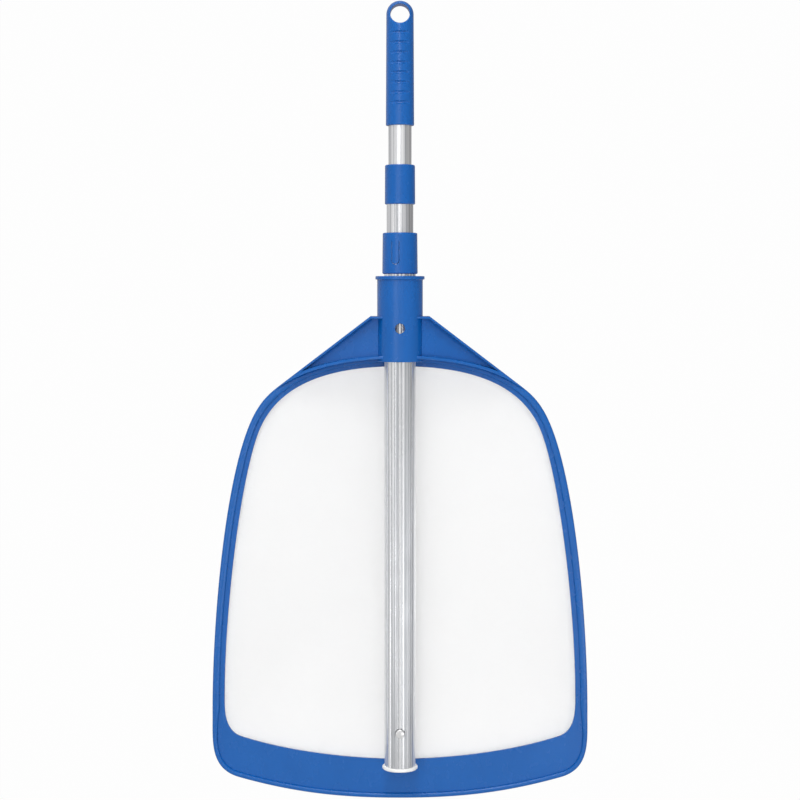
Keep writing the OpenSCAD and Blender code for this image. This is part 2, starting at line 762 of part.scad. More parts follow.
// One ring of the net's front face: the edge lies behind the hoop's inner wall
function net_ring(edge, share) = [for (p = edge)
    let (q = net_centre + share * (p - net_centre))
    [q[0], net_front + net_sag * (1 - share * share), q[1]]];

module leaf_net() {
    edge = from_opening(ledge_w + groove_wall / 2);
    n = len(edge);
    rings = len(NET_RINGS);
    front = [for (s = NET_RINGS) each net_ring(edge, s)];
    middle = [net_centre[0], net_front + net_sag, net_centre[1]];
    back = [for (p = front) p + [0, net_t, 0]];
    half = len(front) + 1;
    points = concat(front, [middle], back, [middle + [0, net_t, 0]]);
    sheet = [for (r = [0:rings - 2]) for (k = [0:n - 1]) let (j = (k + 1) % n)
        [r * n + k, r * n + j, (r + 1) * n + j, (r + 1) * n + k]];
    fan = [for (k = [0:n - 1]) [(rings - 1) * n + k, (rings - 1) * n + (k + 1) % n, rings * n]];
    front_faces = concat(sheet, fan);
    back_faces = [for (f = front_faces) [for (i = [len(f) - 1:-1:0]) f[i] + half]];
    rim = [for (k = [0:n - 1]) let (j = (k + 1) % n) [j, k, k + half, j + half]];
    color([0.97, 0.97, 0.97]) polyhedron(points, concat(front_faces, back_faces, rim), convexity = 4);
}

hem_back = groove_floor + seat_gap + hem_t;

module net_hem() {
    color([0.92, 0.92, 0.92]) band(from_opening(rim_w - groove_wall - hem_gap),
        from_opening(ledge_w + groove_wall + hem_gap), groove_floor + seat_gap, hem_back);
}

// Retaining cord swept round the groove, on top of the hem
module net_spline() {
    sides = 8;
    middle = (ledge_w + rim_w) / 2;
    path = from_opening(middle);
    outward = from_opening(middle + 1);
    n = len(path);
    y = hem_back + 2 * seat_gap + spline_d / 2;
    points = [for (k = [0:n - 1])
        let (across = (outward[k] - path[k]) / norm(outward[k] - path[k]))
        for (s = [0:sides - 1]) let (a = s * 360 / sides,
            q = path[k] + across * cos(a) * spline_d / 2)
        [q[0], y + sin(a) * spline_d / 2, q[1]]];
    faces = [for (k = [0:n - 1]) for (s = [0:sides - 1])
        let (j = (k + 1) % n, u = (s + 1) % sides)
        [k * sides + s, k * sides + u, j * sides + u, j * sides + s]];
    color(deep_blue) polyhedron(points, faces, convexity = 4);
}

grip();
inner_tube();
inner_lock_core();
inner_lock_sleeve();
inner_lock_nut();
inner_lock_screw();
middle_tube();
upper_sleeve();
middle_lock_core();
middle_lock_sleeve();
middle_lock_nut();
middle_lock_screw();
outer_tube();
lower_sleeve();
end_plug();
snap_button();
snap_spring();
scoop_frame();
leaf_net();
net_hem();
net_spline();
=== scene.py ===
"""Leaf skimmer net on a telescopic pole: its looks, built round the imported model.

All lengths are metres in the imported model's own frame: the origin is the centre of the
hanging hole, +Z runs up the pole and the front faces -Y.
"""

from __future__ import annotations

import logging
import math
from dataclasses import dataclass, fields
from enum import Enum

import bmesh
import bpy
import numpy as np
from bpy.types import ID, Material, Node, NodeOutputs, NodeSocket, Object
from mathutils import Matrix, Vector

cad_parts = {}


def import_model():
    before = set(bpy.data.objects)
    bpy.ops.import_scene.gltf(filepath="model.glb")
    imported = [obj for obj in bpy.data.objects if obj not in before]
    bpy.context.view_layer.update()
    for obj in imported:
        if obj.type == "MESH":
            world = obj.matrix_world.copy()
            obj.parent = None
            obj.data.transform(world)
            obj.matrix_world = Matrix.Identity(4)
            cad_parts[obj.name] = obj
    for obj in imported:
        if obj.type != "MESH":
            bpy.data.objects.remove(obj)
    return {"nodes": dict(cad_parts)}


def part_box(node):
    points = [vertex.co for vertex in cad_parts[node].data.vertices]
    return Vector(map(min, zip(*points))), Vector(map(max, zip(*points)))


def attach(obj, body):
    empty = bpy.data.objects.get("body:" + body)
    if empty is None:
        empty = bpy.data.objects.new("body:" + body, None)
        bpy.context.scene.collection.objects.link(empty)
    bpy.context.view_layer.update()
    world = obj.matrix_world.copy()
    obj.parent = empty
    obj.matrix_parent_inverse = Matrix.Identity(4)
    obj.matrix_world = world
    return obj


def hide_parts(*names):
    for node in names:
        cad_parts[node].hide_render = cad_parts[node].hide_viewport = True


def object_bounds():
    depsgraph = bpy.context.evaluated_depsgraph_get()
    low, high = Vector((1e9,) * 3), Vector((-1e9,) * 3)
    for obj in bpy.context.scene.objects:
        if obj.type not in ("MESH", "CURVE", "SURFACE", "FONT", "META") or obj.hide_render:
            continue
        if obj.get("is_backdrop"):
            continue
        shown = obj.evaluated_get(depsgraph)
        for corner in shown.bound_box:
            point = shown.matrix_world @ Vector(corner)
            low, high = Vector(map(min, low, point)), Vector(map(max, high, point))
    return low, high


LOG = logging.getLogger("leaf_skimmer")
MM = 0.001

Pair = tuple[float, float]
Triple = tuple[float, float, float]
Colour = tuple[float, float, float, float]


# ---- mesh helpers ---------------------------------------------------------------------


def linked(name: str, data: ID) -> Object:
    """Makes an object and links it to the scene.

    Args:
        name: name of the object.
        data: its mesh, lamp or camera.

    Returns:
        The new object.
    """
    made = bpy.data.objects.new(name, data)
    bpy.context.scene.collection.objects.link(made)
    return made


def raw_mesh(name: str, points: list[Triple], edges: list[tuple[int, int]],
             faces: list[tuple[int, ...]]) -> Object:
    """Makes a mesh object from corners, edges and faces as they are.

    Args:
        name: name of the object and of its mesh.
        points: corner positions.
        edges: corner numbers of each loose edge.
        faces: corner numbers of each face.

    Returns:
        The new object, linked to the scene.
    """
    mesh = bpy.data.meshes.new(name)
    mesh.from_pydata(points, edges, faces)
    return linked(name, mesh)


def mesh_object(name: str, points: np.ndarray, faces: list[tuple[int, ...]]) -> Object:
    """Makes a closed mesh object from points and faces, and turns its faces outwards.

    Args:
        name: name of the object and of its mesh.
        points: array of corner positions, one row each.
        faces: corner numbers of each face.

    Returns:
        The new object, linked to the scene.
    """
    made = raw_mesh(name, [tuple(map(float, p)) for p in points], [], faces)
    clean_mesh(made)
    return made


def clean_mesh(made: Object, distance: float = 2e-6) -> None:
    """Merges doubled corners, drops empty faces and turns the rest outwards.

    Args:
        made: the mesh object that is cleaned in place.
        distance: corners closer than this become one.
    """
    work = bmesh.new()
    work.from_mesh(made.data)
    bmesh.ops.remove_doubles(work, verts=work.verts, dist=distance)
    bmesh.ops.dissolve_degenerate(work, edges=work.edges, dist=distance)
    bmesh.ops.recalc_face_normals(work, faces=work.faces)
    work.to_mesh(made.data)
    work.free()


def loft(rings: np.ndarray, closed: bool = False) -> tuple[np.ndarray, list[tuple[int, ...]]]:
    """Joins rings of points, each with as many points as the next, by four-sided faces.

    Args:
        rings: array of rings by points by three.
        closed: whether the last ring joins the first. If not, both end rings are filled.

    Returns:
        The points and the faces.
    """
    count, size = rings.shape[:2]
    faces: list[tuple[int, ...]] = []
    for r in range(count if closed else count - 1):
        low, high = r * size, ((r + 1) % count) * size
        for k in range(size):
            j = (k + 1) % size
            faces.append((low + k, low + j, high + j, high + k))
    if not closed:
        faces += [tuple(range(size)), tuple(range((count - 1) * size, count * size))]
    return rings.reshape(-1, 3), faces


def lathe(name: str, profile: list[Pair], sides: int) -> Object:
    """Turns a profile of radius and height about the pole's axis.

    Args:
        name: name of the object.
        profile: pairs of radius and height, in metres.
        sides: number of steps round the axis.

    Returns:
        The turned object, with both ends filled.
    """
    angles = np.linspace(0, 2 * math.pi, sides, endpoint=False)
    rings = [[(r * math.cos(a), r * math.sin(a), z) for a in angles] for r, z in profile]
    return mesh_object(name, *loft(np.array(rings)))


def turn_to_front(made: Object, height: float) -> None:
    """Lays an object turned about Z on its side, so that its axis points to -Y.

    Args:
        made: the object, changed in place.
        height: height of its axis afterwards.
    """
    for corner in made.data.vertices:
        x, y, z = corner.co
        corner.co = (x, -z, y + height)
    clean_mesh(made)


def front_pin(name: str, radius: float, reach: float, height: float,
              sides: int = 64) -> Object:
    """A round pin from the pole's axis out of the front, for cutting a hole.

    Args:
        name: name of the object.
        radius: its radius.
        reach: how far it reaches from the axis.
        height: height of its own axis.
        sides: number of its sides.

    Returns:
        The pin.
    """
    made = lathe(name, [(0, 0), (radius, 0), (radius, reach), (0, reach)], sides)
    turn_to_front(made, height)
    return made


def rounded(centre: Pair, start: float, end: float, radius: float, steps: int = 4) -> list[Pair]:
    """Points of an arc about its centre, between two angles in degrees, both ends included."""
    angles = [math.radians(start + (end - start) * k / steps) for k in range(steps + 1)]
    return [(centre[0] + radius * math.cos(a), centre[1] + radius * math.sin(a)) for a in angles]


def settle(made: Object) -> None:
    """Turns an object's modifiers into plain mesh and removes them.

    Args:
        made: the object, changed in place.
    """
    graph = bpy.context.evaluated_depsgraph_get()
    graph.update()
    mesh = bpy.data.meshes.new_from_object(made.evaluated_get(graph))
    made.modifiers.clear()
    old, made.data = made.data, mesh
    mesh.name = made.name
    bpy.data.meshes.remove(old)


class Cut(Enum):
    """How a second solid changes a first one."""

    JOIN = "UNION"
    REMOVE = "DIFFERENCE"


def combine(made: Object, others: list[Object], how: Cut) -> None:
    """Joins or removes closed solids, one after another, and deletes them.

    Args:
        made: the solid that is changed.
        others: the solids that are used up.
        how: whether they are joined or removed.
    """
    for other in others:
        step = made.modifiers.new("step", "BOOLEAN")
        step.operation = how.value
        step.solver = "MANIFOLD"
        step.object = other
        settle(made)
        bpy.data.objects.remove(other)
    if not made.data.polygons:
        raise RuntimeError(f"{made.name} came out empty")


def shade(made: Object, angle: float = 32.0, weighted: bool = True) -> None:
    """Shades a mesh smooth except over sharp edges, with flat faces kept flat.

    Args:
        made: the mesh object.
        angle: edges sharper than this many degrees stay sharp.
        weighted: whether large faces decide the shading at their edges.
    """
    mesh = made.data
    mesh.polygons.foreach_set("use_smooth", [True] * len(mesh.polygons))
    mesh.set_sharp_from_angle(angle=math.radians(angle))
    if weighted:
        normals = made.modifiers.new("weighted", "WEIGHTED_NORMAL")
        normals.keep_sharp = True
        settle(made)


# ---- finishes -------------------------------------------------------------------------


class Nodes:
    """Short ways to add nodes to a tree and to join them."""

    def __init__(self, tree: bpy.types.NodeTree) -> None:
        """Takes the node tree of a material, a world or a modifier."""
        self.tree = tree

    def link(self, source: NodeSocket, target: NodeSocket) -> None:
        """Joins an output to an input."""
        self.tree.links.new(source, target)

    def feed(self, target: NodeSocket, value: object) -> None:
        """Gives an input its value.

        Args:
            target: the input.
            value: an output that it is joined to, or a plain value.
        """
        if isinstance(value, NodeSocket):
            self.link(value, target)
        else:
            target.default_value = value

    def add(self, kind: str, **values: object) -> Node:
        """Adds a node and gives it its properties and inputs.

        Args:
            kind: the node's type.
            values: properties, or inputs with blanks written as underscores.

        Returns:
            The new node.
        """
        node = self.tree.nodes.new(kind)
        for key, value in values.items():
            if hasattr(node, key):
                setattr(node, key, value)
            else:
                self.feed(node.inputs[key.replace("_", " ")], value)
        return node

    def calc(self, operation: str, *values: object) -> NodeSocket:
        """One step of arithmetic on sockets or numbers.

        Args:
            operation: the Math node's operation.
            values: as many sockets or numbers as the operation takes.

        Returns:
            The result.
        """
        node = self.add("ShaderNodeMath", operation=operation)
        for target, value in zip(node.inputs, values):
            self.feed(target, value)
        return node.outputs[0]

    def ranged(self, value: NodeSocket, low: float, high: float, start: float = 0.0,
               end: float = 1.0, kind: str = "LINEAR") -> NodeSocket:
        """Maps a value from one range to another and clamps it there.

        Args:
            value: the value that is mapped.
            low: result at start.
            high: result at end.
            start: first end of the value's range.
            end: other end of the value's range.
            kind: the Map Range node's interpolation.

        Returns:
            The mapped value.
        """
        node = self.add("ShaderNodeMapRange", interpolation_type=kind, Value=value, From_Min=start,
                        From_Max=end, To_Min=low, To_Max=high)
        return node.outputs["Result"]

    def split(self, vector: NodeSocket) -> NodeOutputs:
        """A vector's X, Y and Z."""
        return self.add("ShaderNodeSeparateXYZ", Vector=vector).outputs


class Shader(Nodes):
    """A node material under construction, with its principled shader."""

    def __init__(self, name: str) -> None:
        """Starts an empty node material.

        Args:
            name: the material's name.
        """
        self.material = bpy.data.materials.new(name)
        self.material.use_nodes = True
        super().__init__(self.material.node_tree)
        self.bsdf = self.tree.nodes["Principled BSDF"]
        self.place = self.add("ShaderNodeTexCoord").outputs["Object"]

    def surface(self, **values: object) -> None:
        """Gives the principled shader its inputs, with blanks written as underscores."""
        for key, value in values.items():
            self.feed(self.bsdf.inputs[key.replace("_", " ")], value)

    def stretched(self, scale: Triple) -> NodeSocket:
        """Object coordinates with their own scale along X, Y and Z."""
        return self.add("ShaderNodeMapping", Scale=scale, Vector=self.place).outputs["Vector"]

    def noise(self, scale: Triple, detail: float, roughness: float = 0.5) -> NodeSocket:
        """A noise pattern on the object's own coordinates.

        Args:
            scale: cycles per metre along X, Y and Z.
            detail: number of finer layers.
            roughness: strength of the finer layers.

        Returns:
            The pattern, from 0 to 1.
        """
        texture = self.add("ShaderNodeTexNoise", Vector=self.stretched(scale), Scale=1.0,
                           Detail=detail, Roughness=roughness)
        return texture.outputs["Fac"]

    def mixed(self, share: NodeSocket, first: Colour, second: Colour) -> NodeSocket:
        """A colour between two colours.

        Args:
            share: 0 for the first and 1 for the second.
            first: the first colour.
            second: the second colour.

        Returns:
            The mixed colour.
        """
        node = self.add("ShaderNodeMix", data_type="RGBA", Factor=share)
        for target, colour in zip([s for s in node.inputs if s.type == "RGBA"], (first, second)):
            target.default_value = colour
        return next(s for s in node.outputs if s.type == "RGBA")

    def relief(self, height: NodeSocket, distance: float, strength: float, edge: float) -> None:
        """Bump from a height pattern, over edges that are rounded in the shading.

        Args:
            height: the pattern, from 0 to 1.
            distance: depth of the relief in metres.
            strength: share of that depth that shows.
            edge: radius of the rounded edges, or 0 for none.
        """
        bump = self.add("ShaderNodeBump", Distance=distance, Strength=strength, Height=height)
        if edge > 0:
            bevel = self.add("ShaderNodeBevel", samples=6, Radius=edge)
            self.link(bevel.outputs["Normal"], bump.inputs["Normal"])
        self.surface(Normal=bump.outputs["Normal"])


def darker(colour: Colour, share: float) -> Colour:
    """A colour at a share of its brightness."""
    return tuple(share * c for c in colour[:3]) + (1.0,)


@dataclass(frozen=True)
class MouldedPlastic:
    """Satin injection-moulded plastic with faint flow clouds and a fine spark-eroded grain."""

    name: str
    colour: Colour
    cloudy: Colour
    roughness: float = 0.25
    gloss: float = 0.36
    edge: float = 0.0
    cloud_scale: Triple = (28, 28, 16)
    cloud_range: Pair = (0.35, 0.68)
    patch_scale: Triple = (90, 90, 60)
    patch_range: Pair = (0.3, 0.7)
    patch_haze: Pair = (-0.035, 0.05)
    patch_relief: float = 1.5
    grain_scale: Triple = (2600, 2600, 2600)
    grain_depth: float = 0.01 * MM
    grain_strength: float = 0.8

    def build(self) -> Material:
        """Makes the material.

        Returns:
            The finished material.
        """
        shader = Shader(self.name)
        clouds = shader.ranged(shader.noise(self.cloud_scale, 4), 0, 1, *self.cloud_range)
        patches = shader.noise(self.patch_scale, 3)
        haze = shader.ranged(patches, *self.patch_haze, *self.patch_range)
        shader.surface(Base_Color=shader.mixed(clouds, self.colour, self.cloudy),
                       Roughness=shader.calc("ADD", haze, self.roughness),
                       Specular_IOR_Level=self.gloss)
        height = shader.calc("MULTIPLY_ADD", patches, self.patch_relief,
                             shader.noise(self.grain_scale, 2))
        shader.relief(height, self.grain_depth, self.grain_strength, self.edge)
        return shader.material


@dataclass(frozen=True)
class DrawnAluminium:
    """Bright drawn tube with fine lengthways die lines, a soft handling haze and, when fluted,
    painted shade in the flute bottoms.
    """

    name: str
    colour: Colour
    dark_line_and_flute_shade: Colour
    line_scale: float
    line_depth: float
    roughness: float = 0.25
    flutes: int = 0
    line_share: float = 0.65
    line_range: Pair = (0.42, 0.55)
    line_height: float = 0.8
    line_stretch: float = 1.2
    line_polish: Pair = (0.12, -0.05)
    broad: float = 6
    broad_stretch: float = 0.8
    haze_scale: Triple = (45, 45, 30)
    haze_range: Pair = (0.45, 0.75)
    haze: float = 0.07
    # how far across a flute its painted shade fades out
    film_range: Pair = (0.05, 0.17)

    def build(self) -> Material:
        """Makes the material.

        Returns:
            The finished material.
        """
        shader = Shader(self.name)
        fine, broad = self.line_scale, self.line_scale / self.broad
        lines = shader.noise((fine, fine, self.line_stretch), 5, roughness=0.7)
        streaks = shader.noise((broad, broad, self.broad_stretch), 2)
        streaks = shader.calc("MULTIPLY", streaks, 1 - self.line_share)
        both = shader.calc("MULTIPLY_ADD", lines, self.line_share, streaks)
        share = shader.ranged(both, 0, 1, *self.line_range)
        # painted shade: on a fluted tube the flute bottoms take the dark line colour
        if self.flutes:
            share = shader.calc("MULTIPLY", share, self.clear_of_flutes(shader))
        dull, bright = (self.roughness + change for change in self.line_polish)
        rough = shader.ranged(lines, dull, bright, 0.3, 0.7)
        haze = shader.ranged(shader.noise(self.haze_scale, 4), 0.0, self.haze, *self.haze_range)
        shader.surface(Base_Color=shader.mixed(share, self.dark_line_and_flute_shade, self.colour), Metallic=1.0,
                       Roughness=shader.calc("ADD", rough, haze))
        shader.relief(lines, self.line_depth, self.line_height, 0.0)
        return shader.material

    def clear_of_flutes(self, shader: Shader) -> NodeSocket:
        """Marks the bottoms of the flutes, where shade is painted in the dark line colour.

        Args:
            shader: the material under construction.

        Returns:
            0 at the bottom of a flute and 1 on the lands between them.
        """
        spot = shader.split(shader.place)
        turn = shader.calc("ARCTAN2", spot["X"], spot["Y"])
        cycle = shader.calc("FRACT", shader.calc("MULTIPLY", turn, self.flutes / (2 * math.pi)))
        across = shader.calc("ABSOLUTE", shader.calc("SUBTRACT", cycle, 0.5))
        return shader.ranged(across, 0, 1, *self.film_range)


@dataclass(frozen=True)
class PlatedSteel:
    """Nickel-plated spring steel with a fine tumbled grain."""

    name: str
    colour: Colour
    roughness: float = 0.27
    dull: float = 0.82
    spot_scale: Triple = (700, 700, 700)
    spot_polish: Pair = (-0.05, 0.1)
    spot_depth: float = 0.02 * MM
    spot_height: float = 0.6
    edge: float = 0.2 * MM

    def build(self) -> Material:
        """Makes the material.

        Returns:
            The finished material.
        """
        shader = Shader(self.name)
        spots = shader.noise(self.spot_scale, 4)
        rough = shader.ranged(spots, *(self.roughness + change for change in self.spot_polish))
        tone = shader.mixed(spots, darker(self.colour, self.dull), self.colour)
        shader.surface(Base_Color=tone, Metallic=1.0, Roughness=rough)
        shader.relief(spots, self.spot_depth, self.spot_height, self.edge)
        return shader.material


@dataclass(frozen=True)
class KnittedMesh:
    """White net of round threads, with open squares between them."""

    name: str
    colour: Colour
    pitch: float = 0.64 * MM
    thread: float = 0.32
    thread_edge: float = 0.12
    shaded: float = 0.86
    roughness: float = 0.6
    fuzz_scale: Triple = (900, 900, 900)
    fuzz_range: Pair = (0.8, 1.1)
    shaded_sides: Pair = (0.2, 1.0)
    thread_height: float = 0.5

    def build(self) -> Material:
        """Makes the material.

        Returns:
            The finished material.
        """
        shader = Shader(self.name)
        spot = shader.split(shader.stretched((1 / self.pitch,) * 3))
        heights = []
        for axis in ("X", "Z"):
            across = shader.calc("SUBTRACT", shader.calc("FRACT", spot[axis]), 0.5)
            off = shader.calc("DIVIDE", shader.calc("ABSOLUTE", across), self.thread / 2)
            heights.append(shader.calc("SUBTRACT", 1.0, shader.calc("MULTIPLY", off, off)))
        over = shader.calc("MAXIMUM", *heights)
        fuzz = shader.ranged(shader.noise(self.fuzz_scale, 2), *self.fuzz_range)
        # painted shade: each thread is darker towards its sides than on its crown
        tone = shader.calc("MULTIPLY", shader.ranged(over, *self.shaded_sides), fuzz)
        shader.surface(Alpha=shader.ranged(over, 0, 1, -self.thread_edge, self.thread_edge),
                       Base_Color=shader.mixed(tone, darker(self.colour, self.shaded),
                                               self.colour),
                       Roughness=self.roughness)
        radius = self.pitch * self.thread / 2
        shader.relief(shader.ranged(over, 0, 1), radius, self.thread_height, 0.0)
        return shader.material


@dataclass(frozen=True)
class WovenTape:
    """Folded hem: the net in several layers, closed and slightly fluffy."""

    name: str
    colour: Colour
    pitch: float = 0.6 * MM
    shaded: float = 0.8
    roughness: float = 0.8
    weave_depth: float = 0.1 * MM
    weave_height: float = 0.6

    def build(self) -> Material:
        """Makes the material.

        Returns:
            The finished material.
        """
        shader = Shader(self.name)
        spot = shader.split(shader.stretched((2 * math.pi / self.pitch,) * 3))
        weave = shader.calc("MULTIPLY", *(shader.calc("SINE", spot[axis]) for axis in ("X", "Z")))
        share = shader.ranged(weave, 0, 1, -1, 1)
        # painted shade: the weave's hollows are darker than its raised threads
        tone = shader.mixed(share, darker(self.colour, self.shaded), self.colour)
        shader.surface(Base_Color=tone, Roughness=self.roughness)
        shader.relief(share, self.weave_depth, self.weave_height, 0.0)
        return shader.material


BLUE: Colour = (0.001, 0.099, 0.385, 1)
CLOUDY_BLUE: Colour = (0.002, 0.107, 0.41, 1)


@dataclass(frozen=True)
class Finishes:
    """Every finish on the skimmer, by the piece it belongs to."""

    blue: MouldedPlastic = MouldedPlastic("blue_moulding", BLUE, CLOUDY_BLUE)
    blue_small: MouldedPlastic = MouldedPlastic(
        "blue_sleeve_moulding", BLUE, CLOUDY_BLUE, edge=0.3 * MM)
    dark_blue: MouldedPlastic = MouldedPlastic(
        "lock_moulding", (0.012, 0.06, 0.24, 1), (0.016, 0.07, 0.26, 1),
        roughness=0.5, edge=0.3 * MM)
    white: MouldedPlastic = MouldedPlastic(
        "white_moulding", (0.88, 0.88, 0.87, 1), (0.92, 0.92, 0.91, 1),
        roughness=0.42, edge=0.4 * MM)
    nylon: MouldedPlastic = MouldedPlastic(
        "natural_nylon", (0.74, 0.72, 0.64, 1), (0.79, 0.77, 0.70, 1),
        roughness=0.45, edge=0.3 * MM)
    bright_tube: DrawnAluminium = DrawnAluminium(
        "drawn_tube", (0.90, 0.90, 0.915, 1), (0.40, 0.41, 0.43, 1),
        line_scale=500, line_depth=0.2 * MM, roughness=0.31)
    fluted_tube: DrawnAluminium = DrawnAluminium(
        "fluted_tube_metal", (0.86, 0.865, 0.88, 1), (0.42, 0.43, 0.45, 1),
        line_scale=340, line_depth=0.08 * MM, flutes=26)
    steel: PlatedSteel = PlatedSteel("plated_steel", (0.80, 0.80, 0.80, 1))
    net: KnittedMesh = KnittedMesh("white_net", (0.95, 0.95, 0.95, 1))
    hem: WovenTape = WovenTape("net_hem_tape", (0.88, 0.88, 0.88, 1))
    cord: MouldedPlastic = MouldedPlastic(
        "cord_rubber", (0.012, 0.04, 0.13, 1), (0.016, 0.05, 0.15, 1), roughness=0.62)

    def build(self) -> dict[str, Material]:
        """Makes every material, and returns them by name."""
        return {field.name: getattr(self, field.name).build() for field in fields(self)}


def dress(made: Object, material: Material) -> None:
    """Gives an object one material.

    Args:
        made: the object, changed in place.
        material: the material of all its faces.
    """
    made.data.materials.clear()
    made.data.materials.append(material)
    made.data.polygons.foreach_set("material_index", [0] * len(made.data.polygons))
    made.data.update()


# ---- geometry nodes --------------------------------------------------------------------


class NodeTree(Nodes):
    """A Geometry Nodes tree under construction."""

    def __init__(self, name: str, inputs: dict[str, tuple[str, object]]) -> None:
        """Starts a tree with a geometry input and output and named inputs.

        Args:
            name: the tree's name.
            inputs: socket type and value of each named input.
        """
        super().__init__(bpy.data.node_groups.new(name, "GeometryNodeTree"))
        face = self.tree.interface
        face.new_socket("Geometry", in_out="INPUT", socket_type="NodeSocketGeometry")
        face.new_socket("Geometry", in_out="OUTPUT", socket_type="NodeSocketGeometry")
        self.values = {}
        for label, (kind, value) in inputs.items():
            socket = face.new_socket(label, in_out="INPUT", socket_type=kind)
            self.values[socket.identifier] = value
        self.given = self.add("NodeGroupInput").outputs
        self.end = self.add("NodeGroupOutput")

    def apply(self, made: Object, geometry: NodeSocket) -> Object:
        """Ends the tree, runs it on an object and keeps the result as plain mesh.

        Args:
            made: the object whose mesh goes in and is replaced.
            geometry: what the tree has made.

        Returns:
            The same object.
        """
        real = self.add("GeometryNodeRealizeInstances", Geometry=geometry)
        paint = self.add("GeometryNodeSetMaterial", Geometry=real.outputs["Geometry"])
        if "Material" in self.given:
            self.link(self.given["Material"], paint.inputs["Material"])
        self.link(paint.outputs["Geometry"], self.end.inputs["Geometry"])
        step = made.modifiers.new(self.tree.name, "NODES")
        step.node_group = self.tree
        for identifier, value in self.values.items():
            step[identifier] = value
        settle(made)
        bpy.data.node_groups.remove(self.tree)
        return made


@dataclass(frozen=True)
class RadialArray:
    """Copies of a piece at equal turns about the pole."""

    count: int
    first_turn: float = 0.0

    def spread(self, piece: Object, name: str) -> Object:
        """Spreads a piece round the pole.

        Args:
            piece: the piece that is copied, and then used up.
            name: name of the result.

        Returns:
            All the copies in one mesh.
        """
        tree = NodeTree("radial_array", {
            "Copies": ("NodeSocketInt", self.count),
            "First Turn": ("NodeSocketFloat", self.first_turn)})
        given = tree.given
        spots = tree.add("GeometryNodeMeshLine", Count=given["Copies"], Offset=(0, 0, 0))
        index = tree.add("GeometryNodeInputIndex").outputs["Index"]
        step = tree.calc("DIVIDE", 2 * math.pi, given["Copies"])
        turn = tree.calc("MULTIPLY_ADD", index, step, given["First Turn"])
        angles = tree.add("ShaderNodeCombineXYZ", Z=turn)
        copies = tree.add("GeometryNodeInstanceOnPoints", Points=spots.outputs["Mesh"],
                          Instance=given["Geometry"], Rotation=angles.outputs["Vector"])
        tree.apply(piece, copies.outputs["Instances"])
        piece.name = name
        clean_mesh(piece)
        return piece


# ---- hoop, gussets and collar ---------------------------------------------------------


@dataclass(frozen=True)
class HoopOutline:
    """The hoop's outlines in X and Z: four Bezier curves on each side."""

    width: float = 370 * MM
    length: float = 437 * MM
    rim: float = 12 * MM
    rim_top: float = 10 * MM
    lip: float = 38.5 * MM
    top: float = -326 * MM
    steps: int = 34

    OUTER = ((0, 0), (0.17, 0), (0.60, 0.014), (0.75, 0.116), (0.92, 0.226), (1, 0.594),
             (1, 0.812), (1, 0.872), (1.017, 0.934), (0.856, 0.953), (0.548, 0.990),
             (0.302, 1), (0, 1))
    INNER = ((0, 0), (0.34, 0), (0.661, 0.031), (0.787, 0.153), (0.893, 0.255), (1, 0.608),
             (1, 0.852), (1, 0.891), (0.988, 0.930), (0.905, 0.942), (0.641, 0.981),
             (0.28, 1), (0, 1))
    SIDE_POINTS = 7

    def control(self, side: float, lip: float) -> np.ndarray:
        """Control points a share of the way from the outer outline to the opening's.

        Args:
            side: share along the top and the sides.
            lip: share along the lip.

        Returns:
            Thirteen points in X and Z.
        """
        outer = np.array([(x * self.width / 2, self.top - z * self.length)
                          for x, z in self.OUTER])
        half = self.width / 2 - self.rim
        span = self.length - self.rim_top - self.lip
        inner = np.array([(x * half, self.top - self.rim_top - z * span) for x, z in self.INNER])
        last = len(outer) - self.SIDE_POINTS - 1
        share = np.array([side] * self.SIDE_POINTS + [(side + lip) / 2] + [lip] * last)[:, None]
        return outer + share * (inner - outer)

    @staticmethod
    def along(points: np.ndarray, first: int, t: float) -> np.ndarray:
        """Point on one of the Bezier curves.

        Args:
            points: the control points.
            first: number of the curve's first control point.
            t: place along the curve, from 0 to 1.

        Returns:
            The point in X and Z.
        """
        a, b, c, d = points[first:first + 4]
        s = 1 - t
        return s ** 3 * a + 3 * s * s * t * b + 3 * s * t * t * c + t ** 3 * d

    def ring(self, side: float, lip: float) -> np.ndarray:
        """A closed outline, down the right side and up the left.

        Args:
            side: share along the top and the sides.
            lip: share along the lip.

        Returns:
            The outline's points in X and Z.
        """
        points = self.control(side, lip)
        half = [self.along(points, first, k / self.steps)
                for first in (0, 3, 6, 9) for k in range(self.steps)] + [points[12]]
        right = np.array(half)
        left = right[-2:0:-1] * (-1, 1)
        return np.vstack([right, left])

    def from_opening(self, distance: float) -> np.ndarray:
        """Outline at a distance outside the opening's edge."""
        return self.ring(1 - distance / self.rim, 1 - distance / self.lip)

    def from_edge(self, side: float, lip: float) -> np.ndarray:
        """Outline at distances inside the hoop's outer edge."""
        return self.ring(side / self.rim, lip / self.lip)


@dataclass(frozen=True)
class NetGroove:
    """Depths and widths of the groove that holds the net, at the back of the hoop."""

    ledge: float = 4.8 * MM
    wall: float = 2.1 * MM
    floor: float = 22 * MM
    inner_back: float = 26 * MM
    outer_back: float = 30 * MM


